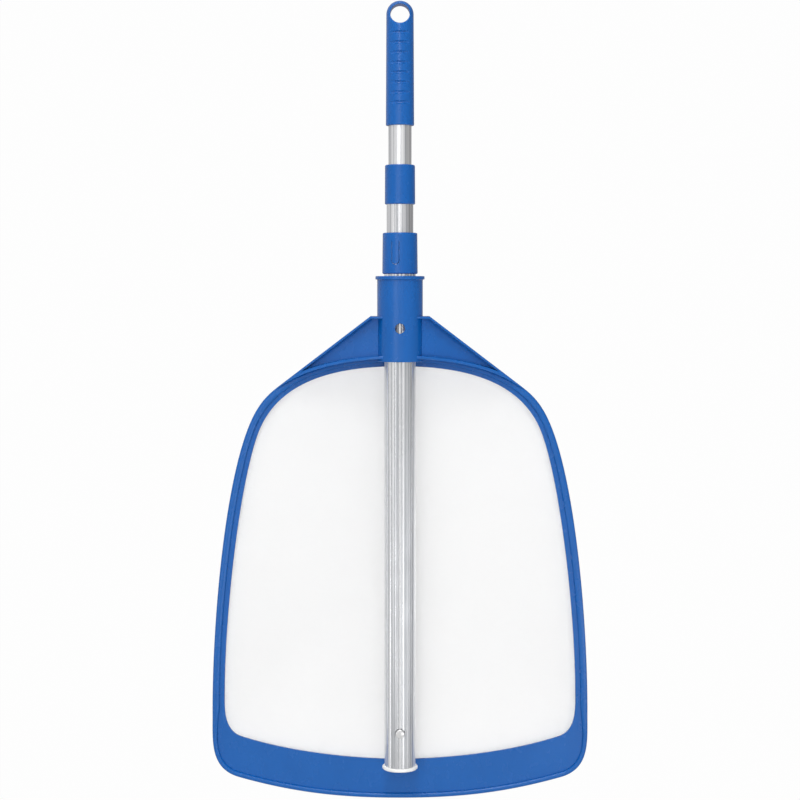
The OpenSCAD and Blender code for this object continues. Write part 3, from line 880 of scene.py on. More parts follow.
@dataclass
class ScoopMoulding:
    """The blue head: hoop with bead, lip and net groove, two gussets and the collar."""

    outline: HoopOutline
    groove: NetGroove
    plate_front: float = 21 * MM
    plate_back: float = 24 * MM
    bead_front: float = 18 * MM
    bead: float = 7.2 * MM
    lip_bead: float = 5 * MM
    bead_power: float = 0.8
    edge: float = 0.5 * MM
    collar_top: float = -248.4 * MM
    collar_length: float = 82 * MM
    collar_radius: float = 21.9 * MM
    flange_radius: float = 23.6 * MM
    flange: float = 3.2 * MM
    flange_edge: float = 0.4 * MM
    collar_edge: float = 0.7 * MM
    fillet: float = 0.9 * MM
    bore: float = 15.08 * MM
    bore_edge: float = 0.5 * MM
    lead: float = 1 * MM
    barrel_wall: float = 2.4 * MM
    core_depth: float = 66 * MM
    core_ribs: int = 6
    core_rib: float = 1.8 * MM
    hole_drop: float = 50 * MM
    hole: float = 4.8 * MM
    hole_flare: float = 0.9 * MM
    flare_rise: float = 0.4 * MM
    boss_reach: float = 30 * MM
    shelf: float = 28.6 * MM
    shelf_drop: float = 38.6 * MM
    rib: float = 2 * MM
    rib_edge: float = 0.45 * MM
    rib_front: float = 14.7 * MM
    pocket: float = 9 * MM
    web: float = 2.5 * MM
    tangent: float = 0.83
    sunk: float = 1 * MM
    past: float = 2 * MM

    TURN_SIDES = 128
    HOLE_SIDES = 64
    CORE_STEPS = 16
    BEAD_STEPS = 14
    EDGE_STEPS = 4
    SHELF_STEPS = 6
    SLANT_STEPS = 26
    ARC_STEPS = 30
    SIDE_STEPS = 6
    SEARCH_STEPS = 400

    def section(self) -> list[tuple[np.ndarray, float]]:
        """The hoop's cross-section: outlines and their depths, once round the section.

        Returns:
            Pairs of an outline and its distance behind the pole's axis.
        """
        e, soft = self.edge, 0.3 * self.edge
        rim, front, back = self.outline.rim, self.plate_front, self.plate_back
        opening, edge = self.outline.from_opening, self.outline.from_edge
        g = self.groove
        inner, outer = g.ledge + g.wall, rim - g.wall
        made = [(opening(0), back - e), (opening(0), front + e), (opening(soft), front + soft),
                (opening(e), front), (edge(self.bead + e, self.lip_bead + e), front)]
        for k in range(self.BEAD_STEPS + 1):
            angle = math.pi * k / self.BEAD_STEPS
            reach = math.copysign(abs(math.cos(angle)) ** self.bead_power, math.cos(angle))
            side = 0.5 + 0.5 * reach
            rise = abs(math.sin(angle)) ** self.bead_power
            made.append((edge(side * self.bead, side * self.lip_bead),
                         front - rise * (front - self.bead_front)))
        made += [(edge(0, 0), back - e), (edge(0, soft), back - soft), (edge(0, e), back),
                 (opening(rim), back)]
        made += [(opening(d), y) for d, y in (
            (rim, g.outer_back - e), (rim - soft, g.outer_back - soft), (rim - e, g.outer_back),
            (outer + e, g.outer_back), (outer + soft, g.outer_back - soft),
            (outer, g.outer_back - e), (outer, g.floor), (inner, g.floor),
            (inner, g.inner_back - e), (inner - soft, g.inner_back - soft),
            (inner - e, g.inner_back), (g.ledge + e, g.inner_back),
            (g.ledge + soft, g.inner_back - soft), (g.ledge, g.inner_back - e),
            (g.ledge, back + soft), (g.ledge - e, back), (e, back), (soft, back - soft))]
        return made

    def hoop(self) -> Object:
        """The section swept round the hoop, as a closed mesh."""
        rings = np.array([[(x, y, z) for x, z in points] for points, y in self.section()])
        return mesh_object("scoop_moulding", *loft(rings, closed=True))

    def gusset_end(self) -> np.ndarray:
        """Point in X and Z where the gusset's outer edge runs out on the hoop."""
        return self.outline.along(self.outline.control(0, 0), 0, self.tangent)

    def arc_point(self, inset: float, t: float) -> np.ndarray:
        """Point of the gusset's lower edge: sunk in the hoop at inset 0, above its rib at rib."""
        above = -self.sunk + inset * (self.rib + self.sunk) / self.rib
        return self.outline.along(self.outline.control(-above / self.outline.rim_top, 0), 0, t)

    def gusset_loop(self, inset: float, inner_x: float) -> np.ndarray:
        """One gusset's outline, moved inwards, with matching points at every inset.

        Args:
            inset: distance inside the gusset's outer edge.
            inner_x: X of the edge nearest the pole.

        Returns:
            The loop's points in X and Z.
        """
        top = self.collar_top - self.shelf_drop
        corner, end = np.array((self.shelf, top)), self.gusset_end()
        slope = (end - corner) / np.linalg.norm(end - corner)
        down = np.array((slope[1], -slope[0]))
        down = down if down[1] < 0 else -down
        line = corner + down * inset
        start = line + slope * ((top - inset) - line[1]) / slope[1]
        places = [self.tangent * k / self.SEARCH_STEPS for k in range(1, self.SEARCH_STEPS)]
        last = next((t for t in places if np.dot(self.arc_point(inset, t) - line, down) <= 0),
                    self.tangent)
        tip = end if inset == 0 else self.arc_point(inset, last)
        shelf = [(inner_x + (start[0] - inner_x) * k / self.SHELF_STEPS, top - inset)
                 for k in range(self.SHELF_STEPS)]
        slant = [tuple(start + (tip - start) * k / self.SLANT_STEPS)
                 for k in range(self.SLANT_STEPS)]
        arc = [self.arc_point(inset, last - last * k / self.ARC_STEPS)
               for k in range(self.ARC_STEPS)]
        arc = [(max(x, inner_x), z) for x, z in arc]
        if inset == 0:
            arc[0] = tuple(tip)
        foot = self.arc_point(inset, 0.0)[1]
        side = [(inner_x, foot + (top - inset - foot) * k / self.SIDE_STEPS)
                for k in range(self.SIDE_STEPS)]
        return np.array(shelf + slant + arc + side)

    def leaning(self, x: float, near: float, far: float) -> float:
        """Depth on a plane that leans from near at the collar's side to far at the gusset's end."""
        end = self.gusset_end()[0]
        return near + (x - self.collar_radius) / (end - self.collar_radius) * (far - near)

    def rib_face(self, x: float) -> float:
        """Depth of the gusset's front edges, which lean back from the collar to the hoop."""
        face = self.leaning(x, -self.rib_front, self.bead_front)
        return min(max(face, -self.rib_front), self.bead_front)

    def gusset(self, side: int) -> Object:
        """One gusset: ribs with rounded edges round a leaning web, hollow in front and behind.

        Args:
            side: 1 for the right gusset and -1 for the left.

        Returns:
            The gusset as a closed mesh, with its foot inside the collar.
        """
        r, rib, inner, deep = self.rib_edge, self.rib, -self.sunk, self.past
        back, web = self.plate_back + self.web, self.pocket - self.rib_front
        turns = [math.pi / 2 * k / self.EDGE_STEPS for k in range(self.EDGE_STEPS + 1)]
        out = [(r * (1 - math.cos(t)), r * (1 - math.sin(t))) for t in turns]

        def level(x: float) -> float:
            """Depth of the flat back of the ribs."""
            return back

        def web_face(x: float) -> float:
            """Depth of the web's front."""
            return self.leaning(x, web, self.plate_back)

        def web_rear(x: float) -> float:
            """Depth of the web's rear."""
            return self.leaning(x, web + self.web, back)

        loops = [(rib, deep, web_rear, 0.0)]
        loops += [(rib - along, deep, level, -rise) for along, rise in out]
        loops += [(along, inner, level, -rise) for along, rise in reversed(out)]
        loops += [(along, inner, self.rib_face, rise) for along, rise in out]
        loops += [(rib - along, deep, self.rib_face, rise) for along, rise in reversed(out)]
        loops += [(rib + along, deep, web_face, -rise) for along, rise in out]
        rings = [[(side * x, face(x) + off, z) for x, z in self.gusset_loop(inset, left)]
                 for inset, left, face, off in loops]
        return mesh_object("gusset", *loft(np.array(rings)))

    def collar(self) -> Object:
        """The collar's outside, with a filleted flange, before it is bored.

        Returns:
            The turned solid.
        """
        top, low = self.collar_top, self.collar_top - self.collar_length
        edge, thin, fillet = self.collar_edge, self.flange_edge, self.fillet
        under = top - self.flange
        profile = [(0.0, top)]
        profile += rounded((self.flange_radius - edge, top - edge), 90, 0, edge)
        profile += rounded((self.flange_radius - thin, under + thin), 0, -90, thin)
        profile += rounded((self.collar_radius + fillet, under - fillet), 90, 180, fillet)
        profile += rounded((self.collar_radius - edge, low + edge), 0, -90, edge)
        profile.append((0.0, low))
        return lathe("collar", profile, self.TURN_SIDES)

    def cores(self) -> Object:
        """The hollows between the collar's barrel and its guide, one between each two ribs.

        Returns:
            All the hollows in one mesh, clear of the boss round the snap hole.
        """
        outer, inner = self.collar_radius - self.barrel_wall, self.bore + self.barrel_wall
        low = self.collar_top - self.collar_length
        half = math.pi / self.core_ribs
        angles = np.linspace(-half, half, self.CORE_STEPS + 1)
        angles[0] += self.core_rib / 2 / outer
        angles[-1] -= self.core_rib / 2 / outer
        arcs = [(outer, a) for a in angles] + [(inner, a) for a in angles[::-1]]
        loops = [[(r * math.cos(a), r * math.sin(a), height) for r, a in arcs]
                 for height in (low - self.past / 2, low + self.core_depth)]
        core = mesh_object("core", *loft(np.array(loops)))
        ring = RadialArray(self.core_ribs, half - math.pi / 2).spread(core, "cores")
        boss = front_pin("boss", self.hole + self.barrel_wall, self.boss_reach,
                         self.collar_top - self.hole_drop)
        combine(ring, [boss], Cut.REMOVE)
        return ring

    def cutters(self) -> list[Object]:
        """The cores, the pole's bore and the snap hole.

        Returns:
            Closed solids that are removed from the head.
        """
        top, low = self.collar_top, self.collar_top - self.collar_length
        past, bore, lead, edge = self.past, self.bore, self.lead, self.bore_edge
        profile = [(0, low - past), (bore + lead + past, low - past), (bore + lead, low),
                   (bore, low + lead), (bore, top - edge), (bore + edge, top),
                   (bore + edge + past, top + past), (0, top + past)]
        flared, face = self.hole + self.hole_flare, self.collar_radius
        hole = [(0, 0), (self.hole, 0), (self.hole, face - edge),
                (flared, face + self.flare_rise), (flared, face + 2 * past), (0, face + 2 * past)]
        pin = lathe("snap_hole", hole, self.HOLE_SIDES)
        turn_to_front(pin, top - self.hole_drop)
        return [self.cores(), lathe("pole_bore", profile, self.TURN_SIDES), pin]

    def build(self, blue: Material) -> Object:
        """Builds the head's moulding and puts it on its body.

        Args:
            blue: the moulding's material.

        Returns:
            The finished piece.
        """
        made = self.hoop()
        combine(made, [self.collar(), self.gusset(1), self.gusset(-1)], Cut.JOIN)
        combine(made, self.cutters(), Cut.REMOVE)
        clean_mesh(made, 1e-6)
        shade(made)
        dress(made, blue)
        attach(made, "head")
        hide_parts("scoop_frame")
        return made


# ---- net ------------------------------------------------------------------------------


@dataclass
class Net:
    """The net, its hem and the cord that holds the hem in the groove."""

    outline: HoopOutline
    groove: NetGroove
    front: float = 26.3 * MM
    sag: float = 14 * MM
    slack: float = 0.5 * MM
    slack_waves: Pair = (31, 23)
    thickness: float = 0.35 * MM
    middle_share: float = 0.48
    rings: int = 26
    hem_gap: float = 0.12 * MM
    hem_thickness: float = 0.26 * MM
    hem_turn: float = 0.35 * MM
    hem_lap: float = 1.0 * MM
    hem_short: float = 1.6 * MM
    cord_gap: float = 0.75 * MM
    cord_radius: float = 1.2 * MM
    cord_sides: int = 12
    ridge_pitch: float = 3.2 * MM
    ridge: float = 0.055

    RIDGE_STEPS = 6

    def fold(self) -> np.ndarray:
        """The line that the net folds over, on the groove's inner wall."""
        return self.outline.from_opening(self.groove.ledge + self.groove.wall / 2)

    def flat_area(self) -> float:
        """Area of the net between its folds, measured flat, in square metres."""
        x, z = self.fold().T
        return abs(float(np.dot(x, np.roll(z, 1)) - np.dot(z, np.roll(x, 1)))) / 2

    def depth(self, share: float, x: float, z: float) -> float:
        """Depth of the net's front face: a shallow bag with a faint slackness.

        Args:
            share: distance from the middle as a share of the way to the edge.
            x: place across.
            z: place along.

        Returns:
            The distance behind the pole's axis.
        """
        across, along = self.slack_waves
        slack = self.slack * (1 - share ** 2) * math.sin(x * across + 1) * math.sin(z * along)
        return self.front + self.sag * (1 - share ** 2) + slack

    def sheet(self, material: Material) -> Object:
        """The net as one thin sheet.

        Args:
            material: the net's material.

        Returns:
            The sheet.
        """
        edge = self.fold()[::2]
        centre = np.array((0, self.outline.top - self.middle_share * self.outline.length))
        faces: list[tuple[int, ...]] = []
        layers = []
        for back in (0.0, self.thickness):
            rows = []
            for k in range(self.rings):
                share = 1 - k / self.rings
                spot = centre + share * (edge - centre)
                rows.append([(x, self.depth(share, x, z) + back, z) for x, z in spot])
            layers.append(np.array(rows))
        size, count = len(edge), self.rings
        half = size * count + 1
        middle = (centre[0], self.depth(0, *centre), centre[1])
        points = np.vstack([layers[0].reshape(-1, 3), [middle], layers[1].reshape(-1, 3),
                            [np.add(middle, (0, self.thickness, 0))]])
        for base in (0, half):
            for r in range(count - 1):
                for k in range(size):
                    j = (k + 1) % size
                    a, b = base + r * size, base + (r + 1) * size
                    faces.append((a + k, a + j, b + j, b + k))
            last = base + (count - 1) * size
            faces += [(last + k, last + (k + 1) % size, base + size * count) for k in range(size)]
        faces += [(k, (k + 1) % size, half + (k + 1) % size, half + k) for k in range(size)]
        made = mesh_object("net_sheet", points, faces)
        shade(made, 60, weighted=False)
        dress(made, material)
        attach(made, "head")
        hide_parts("leaf_net")
        return made

    def hem(self, material: Material) -> Object:
        """The net's folded edge: over the inner wall, down the groove and up its outer wall.

        Args:
            material: the hem's material.

        Returns:
            The hem.
        """
        g, t, gap, turn = self.groove, self.hem_thickness, self.hem_gap, self.hem_turn
        start, inner = g.ledge + g.wall, g.ledge + g.wall + gap
        outer, low = self.outline.rim - g.wall - gap, g.floor + gap
        bend, slant = 0.3 * turn, 0.7 * t
        path = np.array([(start - self.hem_lap, g.inner_back + 0.16 * MM),
                         (start - 0.2 * MM, g.inner_back + 0.14 * MM),
                         (inner, g.inner_back - 0.25 * MM), (inner, low + turn),
                         (inner + bend, low + bend), (inner + turn, low),
                         (outer - turn, low), (outer - bend, low + bend),
                         (outer, low + turn), (outer, g.outer_back - self.hem_short)])
        shift = np.array([(0, t), (0.1 * MM, t), (t, 0.05 * MM), (t, 0), (slant, slant),
                          (0, t), (0, t), (-slant, slant), (-t, 0), (-t, 0)])
        section = np.vstack([path, (path + shift)[::-1]])
        rings = np.array([[(x, y, z) for x, z in self.outline.from_opening(d)]
                          for d, y in section])
        made = mesh_object("net_hem_fold", *loft(rings, closed=True))
        shade(made, 40, weighted=False)
        dress(made, material)
        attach(made, "head")
        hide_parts("net_hem")
        return made

    def cord(self, material: Material) -> Object:
        """The ridged cord pressed into the groove on top of the hem.

        Args:
            material: the cord's material.

        Returns:
            The cord.
        """
        middle = (self.groove.ledge + self.outline.rim) / 2
        over_hem = self.hem_gap + self.hem_thickness + self.cord_gap
        depth = self.groove.floor + over_hem + self.cord_radius
        points = [(float(x), depth, float(z)) for x, z in self.outline.from_opening(middle)]
        edges = [(k, (k + 1) % len(points)) for k in range(len(points))]
        made = raw_mesh("net_cord_ridged", points, edges, [])
        tree = NodeTree("ridged_cord", {
            "Radius": ("NodeSocketFloat", self.cord_radius),
            "Sides": ("NodeSocketInt", self.cord_sides),
            "Ridge Pitch": ("NodeSocketFloat", self.ridge_pitch),
            "Ridge Share": ("NodeSocketFloat", self.ridge),
            "Material": ("NodeSocketMaterial", material)})
        given = tree.given
        curve = tree.add("GeometryNodeMeshToCurve", Mesh=given["Geometry"])
        step = tree.calc("DIVIDE", given["Ridge Pitch"], self.RIDGE_STEPS)
        fine = tree.add("GeometryNodeResampleCurve", mode="LENGTH", Curve=curve.outputs["Curve"],
                        Length=step)
        place = tree.add("GeometryNodeSplineParameter")
        waves = tree.calc("DIVIDE", place.outputs["Length"], given["Ridge Pitch"])
        wave = tree.calc("SINE", tree.calc("MULTIPLY", waves, 2 * math.pi))
        swell = tree.calc("MULTIPLY_ADD", wave, given["Ridge Share"], 1.0)
        ring = tree.add("GeometryNodeCurvePrimitiveCircle", Resolution=given["Sides"],
                        Radius=given["Radius"])
        tube = tree.add("GeometryNodeCurveToMesh", Curve=fine.outputs["Curve"],
                        Profile_Curve=ring.outputs["Curve"], Scale=swell)
        tree.apply(made, tube.outputs["Mesh"])
        clean_mesh(made, 1e-6)
        shade(made, 60, weighted=False)
        dress(made, material)
        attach(made, "head")
        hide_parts("net_spline")
        return made

    def build(self, finishes: dict[str, Material]) -> list[Object]:
        """Args:
            finishes: the materials by name.

        Returns:
            The three pieces.
        """
        sheet = self.sheet(finishes["net"])
        hem = self.hem(finishes["hem"])
        cord = self.cord(finishes["cord"])
        size = self.fold().max(0) - self.fold().min(0)
        self.flat_area()
        return [sheet, hem, cord]


# ---- pole -----------------------------------------------------------------------------


@dataclass
class Grip:
    """The hand grip: a round bar with finger grooves, a domed end and a hanging hole."""

    radius: float = 13 * MM
    end_radius: float = 13.5 * MM
    hole: float = 9.2 * MM
    hole_edge: float = 1.3 * MM
    bottom: float = -105 * MM
    seat: float = -18 * MM
    bore: float = 11.05 * MM
    chamfer: float = 0.9 * MM
    grooves: int = 8
    groove_pitch: float = 9.4 * MM
    groove_drop: float = 18 * MM
    groove_depth: float = 1.2 * MM
    groove_radius: float = 1.4 * MM
    groove_centre: float = 5 * MM
    groove_margin: float = 2 * MM
    fine_step: float = 0.2 * MM
    lead: float = 0.5 * MM
    relief: float = 0.4 * MM
    proud: float = 0.01 * MM

    SIDES = 128
    DOME_STEPS = 30
    DOME_START = 0.985
    HOLE_SIDES = 96
    HOLE_STEPS = 6
    LOW_LEVELS = 6

    def radius_at(self, z: float) -> float:
        """Radius of the tapered grip at a height, from the hanging hole down."""
        return self.radius + z / self.bottom * (self.end_radius - self.radius)

    def circle(self, radius: float) -> np.ndarray:
        """Points in X and Y, once round the pole's axis at a radius."""
        angles = np.linspace(0, 2 * math.pi, self.SIDES, endpoint=False)
        return radius * np.stack([np.cos(angles), np.sin(angles)], axis=1)

    def press_grooves(self, points: np.ndarray, z: float) -> np.ndarray:
        """Presses the finger grooves into an outline, front and back.

        Args:
            points: the outline in X and Y.
            z: its height.

        Returns:
            The pressed outline.
        """
        number = round((-z - self.groove_drop) / self.groove_pitch)
        drop = self.groove_drop + number * self.groove_pitch
        off = abs(-z - drop)
        if not 0 <= number < self.grooves or off >= self.groove_radius:
            return points
        bottom = self.radius_at(-drop) + self.groove_centre - self.groove_depth
        floor = bottom + self.groove_radius - math.sqrt(self.groove_radius ** 2 - off ** 2)
        pressed = points.copy()
        for k, (x, y) in enumerate(points):
            centre = math.copysign(self.groove_centre, -y)
            distance = math.hypot(x, y - centre)
            if distance > floor:
                pressed[k] = (x * floor / distance, centre + (y - centre) * floor / distance)
        return pressed

    def heights(self) -> list[float]:
        """Levels of the grip's outlines, close together over the grooves.

        Returns:
            The heights below the dome, from the top down.
        """
        first = -self.groove_drop + self.groove_margin
        length = (self.grooves - 1) * self.groove_pitch
        last = -self.groove_drop - length - self.groove_margin
        return [0.0, first / 2, *np.arange(first, last, -self.fine_step),
                *np.linspace(last, self.bottom + self.chamfer, self.LOW_LEVELS)]

    def face(self, x: float, z: float) -> float:
        """Distance of the grip's surface in front of its middle plane."""
        return math.sqrt(max(self.radius ** 2 - x * x - max(z, 0.0) ** 2, 0.0))

    def hanging_hole(self) -> Object:
        """The hole's shape, whose mouths round over into the domed surface.

        Returns:
            The closed solid that is removed.
        """
        rings = []
        for k in range(self.HOLE_STEPS + 1):
            turn = math.pi / 2 * k / self.HOLE_STEPS
            reach = self.hole + self.hole_edge * (1 - math.cos(turn))
            sunk = self.hole_edge * (1 - math.sin(turn)) - self.proud
            spots = [(reach * math.cos(a), reach * math.sin(a))
                     for a in np.linspace(0, 2 * math.pi, self.HOLE_SIDES, endpoint=False)]
            rings.append([(x, sunk - self.face(x, z), z) for x, z in spots])
        rings.append([(x, -2 * self.radius, z) for x, _, z in rings[-1]])
        front = np.array(rings)
        return mesh_object("hanging_hole", *loft(np.vstack([front[::-1], front * (1, -1, 1)])))

    def build(self, blue: Material) -> Object:
        """Builds the grip and puts it on the handle.

        Args:
            blue: the grip's material.

        Returns:
            The finished piece.
        """
        dome = [(self.radius * math.cos(a), self.radius * math.sin(a)) for a in
                np.linspace(math.pi / 2 * self.DOME_START, 0.0, self.DOME_STEPS, endpoint=False)]
        levels = [(self.circle(radius), z) for radius, z in dome]
        levels += [(self.press_grooves(self.circle(self.radius_at(z)), z), z)
                   for z in self.heights()]
        corner = (self.end_radius - self.chamfer, self.bottom + self.chamfer)
        mouth = [*rounded(corner, 0, -90, self.chamfer)[1:],
                 (self.bore + self.lead, self.bottom), (self.bore, self.bottom + self.lead),
                 (self.bore, self.seat - self.relief), (self.bore - self.relief, self.seat)]
        levels += [(self.circle(radius), z) for radius, z in mouth]
        rings = np.array([[(x, y, z) for x, y in outline] for outline, z in levels])
        made = mesh_object("grip_ribbed", *loft(rings))
        combine(made, [self.hanging_hole()], Cut.REMOVE)
        clean_mesh(made, 1e-6)
        shade(made, 34)
        dress(made, blue)
        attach(made, "handle")
        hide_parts("grip")
        return made


@dataclass
class FlutedTube:
    """The outer tube, drawn with shallow lengthways flutes."""

    radius: float = 15 * MM
    wall: float = 1.4 * MM
    flutes: int = 26
    depth: float = 0.4 * MM
    flute_share: float = 0.42
    steps: int = 14
    button_hole: float = 4.8 * MM
    nib_hole: float = 2.5 * MM
    tongue_turn: float = math.radians(15.5)
    nib_drop: float = 26.7 * MM
    pin_reach: float = 20 * MM

    NIB_SIDES = 40

    def tube(self, metal: Material) -> Object:
        """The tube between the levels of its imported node, before its holes are cut.

        Args:
            metal: the tube's material.

        Returns:
            The tube as a closed mesh.
        """
        low, high = (corner.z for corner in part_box("outer_tube"))
        tree = NodeTree("fluted_tube", {
            "Radius": ("NodeSocketFloat", self.radius),
            "Wall": ("NodeSocketFloat", self.wall),
            "Bottom": ("NodeSocketFloat", low),
            "Top": ("NodeSocketFloat", high),
            "Flutes": ("NodeSocketInt", self.flutes),
            "Flute Depth": ("NodeSocketFloat", self.depth),
            "Flute Share": ("NodeSocketFloat", self.flute_share),
            "Steps": ("NodeSocketInt", self.steps),
            "Material": ("NodeSocketMaterial", metal)})
        given, calc = tree.given, tree.calc
        columns = calc("MULTIPLY_ADD", given["Flutes"], given["Steps"], 1)
        grid = tree.add("GeometryNodeMeshGrid", Size_X=1.0, Size_Y=4.0, Vertices_X=columns,
                        Vertices_Y=5)
        place = tree.split(tree.add("GeometryNodeInputPosition").outputs["Position"])
        turn = calc("MULTIPLY", calc("ADD", place["X"], 0.5), 2 * math.pi)
        # rows: inside low, outside low, outside high, inside high, and inside low again
        row = calc("ROUND", calc("ADD", place["Y"], 2.0))
        outside = calc("MULTIPLY", calc("GREATER_THAN", row, 0.5), calc("LESS_THAN", row, 2.5))
        upper = calc("MULTIPLY", calc("GREATER_THAN", row, 1.5), calc("LESS_THAN", row, 3.5))
        cycle = calc("DIVIDE", calc("MULTIPLY", turn, given["Flutes"]), 2 * math.pi)
        across = calc("ABSOLUTE", calc("SUBTRACT", calc("FRACT", cycle), 0.5))
        share = calc("DIVIDE", across, calc("DIVIDE", given["Flute Share"], 2))
        arch = calc("MAXIMUM", calc("SUBTRACT", 1.0, calc("MULTIPLY", share, share)), 0)
        cut = calc("MULTIPLY", calc("SQRT", arch), given["Flute Depth"])
        inner = calc("SUBTRACT", given["Radius"], given["Wall"])
        proud = calc("SUBTRACT", given["Wall"], cut)
        reach = calc("ADD", inner, calc("MULTIPLY", outside, proud))
        length = calc("SUBTRACT", given["Top"], given["Bottom"])
        height = calc("ADD", given["Bottom"], calc("MULTIPLY", upper, length))
        spot = tree.add("ShaderNodeCombineXYZ", X=calc("MULTIPLY", reach, calc("SINE", turn)),
                        Y=calc("MULTIPLY", reach, calc("COSINE", turn)), Z=height)
        bent = tree.add("GeometryNodeSetPosition", Geometry=grid.outputs["Mesh"],
                        Position=spot.outputs["Vector"])
        weld = tree.add("GeometryNodeMergeByDistance", Geometry=bent.outputs["Geometry"],
                        Distance=1e-6)
        made = tree.apply(raw_mesh("fluted_tube", [], [], []), weld.outputs["Geometry"])
        clean_mesh(made)
        return made

    def build(self, metal: Material, button_height: float, sleeve_top: float) -> Object:
        """Builds the tube and puts it on the outer stage.

        Args:
            metal: the tube's material.
            button_height: height of the snap button's axis.
            sleeve_top: height of the lower sleeve's top, which the nib hole is measured from.

        Returns:
            The finished piece.
        """
        made = self.tube(metal)
        button = front_pin("button_hole", self.button_hole, self.pin_reach, button_height)
        nib = front_pin("nib_hole", self.nib_hole, self.pin_reach, sleeve_top - self.nib_drop,
                        self.NIB_SIDES)
        c, s = math.cos(-self.tongue_turn), math.sin(-self.tongue_turn)
        for corner in nib.data.vertices:
            x, y, z = corner.co
            corner.co = (c * x - s * y, s * x + c * y, z)
        combine(made, [button, nib], Cut.REMOVE)
        shade(made, 28, weighted=False)
        dress(made, metal)
        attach(made, "outer_stage")
        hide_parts("outer_tube")
        return made


@dataclass
class SnapButton:
    """The domed spring button, with its tenon and riveted head."""

    radius: float = 4.4 * MM
    nose: float = 18.6 * MM
    dome: float = 0.35 * MM
    edge: float = 1.1 * MM
    seat: float = 13.0 * MM
    tenon: float = 2 * MM
    tenon_end: float = 11.35 * MM
    rivet: float = 3.2 * MM
    rivet_front: float = 12.1 * MM

    SIDES = 72

    def build(self, steel: Material, height: float) -> Object:
        """Builds the button at its height and puts it on its body.

        Args:
            steel: the button's material.
            height: height of its axis.

        Returns:
            The finished piece.
        """
        rim, tail = self.nose - self.dome, self.tenon_end
        profile = [(0.0, self.nose), (0.35 * self.radius, self.nose - 0.15 * self.dome),
                   (self.radius - self.edge, rim)]
        profile += rounded((self.radius - self.edge, rim - self.edge), 90, 0, self.edge, 5)[1:]
        profile += [(self.radius, self.seat + 0.2 * MM), (self.radius - 0.2 * MM, self.seat),
                    (self.tenon, self.seat), (self.tenon, self.rivet_front),
                    (self.rivet, self.rivet_front - 0.05 * MM), (self.rivet, tail + 0.3 * MM),
                    (self.rivet - 0.4 * MM, tail), (0.0, tail - 0.1 * MM)]
        made = lathe("snap_button_domed", profile, self.SIDES)
        turn_to_front(made, height)
        shade(made, 34)
        dress(made, steel)
        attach(made, "button")
        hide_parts("snap_button")
        return made


class PackedNodes:
    """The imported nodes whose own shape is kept, and their finishes."""

    FINISH_OF = {
        "inner_tube": "bright_tube", "middle_tube": "bright_tube",
        "inner_lock_core": "nylon", "middle_lock_core": "nylon",
        "inner_lock_nut": "nylon", "middle_lock_nut": "nylon",
        "inner_lock_sleeve": "dark_blue", "middle_lock_sleeve": "dark_blue",
        "inner_lock_screw": "steel", "middle_lock_screw": "steel", "snap_spring": "steel",
        "upper_sleeve": "blue_small", "lower_sleeve": "blue_small", "end_plug": "white",
    }

    def dress_all(self, nodes: dict[str, Object], materials: dict[str, Material]) -> None:
        """Gives each kept node its finish.

        Args:
            nodes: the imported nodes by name.
            materials: the materials by name.
        """
        for node, finish in self.FINISH_OF.items():
            dress(nodes[node], materials[finish])
            LOG.info("%s keeps its shape, in %s", node, finish)


# ---- studio ---------------------------------------------------------------------------


@dataclass(frozen=True)
class Lamp:
    """A soft rectangular lamp: its place, its width and height, and its power in watts."""

    name: str
    spot: Triple
    size: Pair
    power: float
    mirrored: bool = True

    def build(self, aim: Vector) -> None:
        """Places the lamp.

        Args:
            aim: the point that it faces.
        """
        data = bpy.data.lights.new(self.name, "AREA")
        data.shape, data.size, data.size_y = "RECTANGLE", *self.size
        data.energy = self.power
        made = linked(self.name, data)
        made.location = self.spot
        made.rotation_euler = (aim - Vector(self.spot)).to_track_quat("-Z", "Y").to_euler()
        made.visible_glossy = self.mirrored


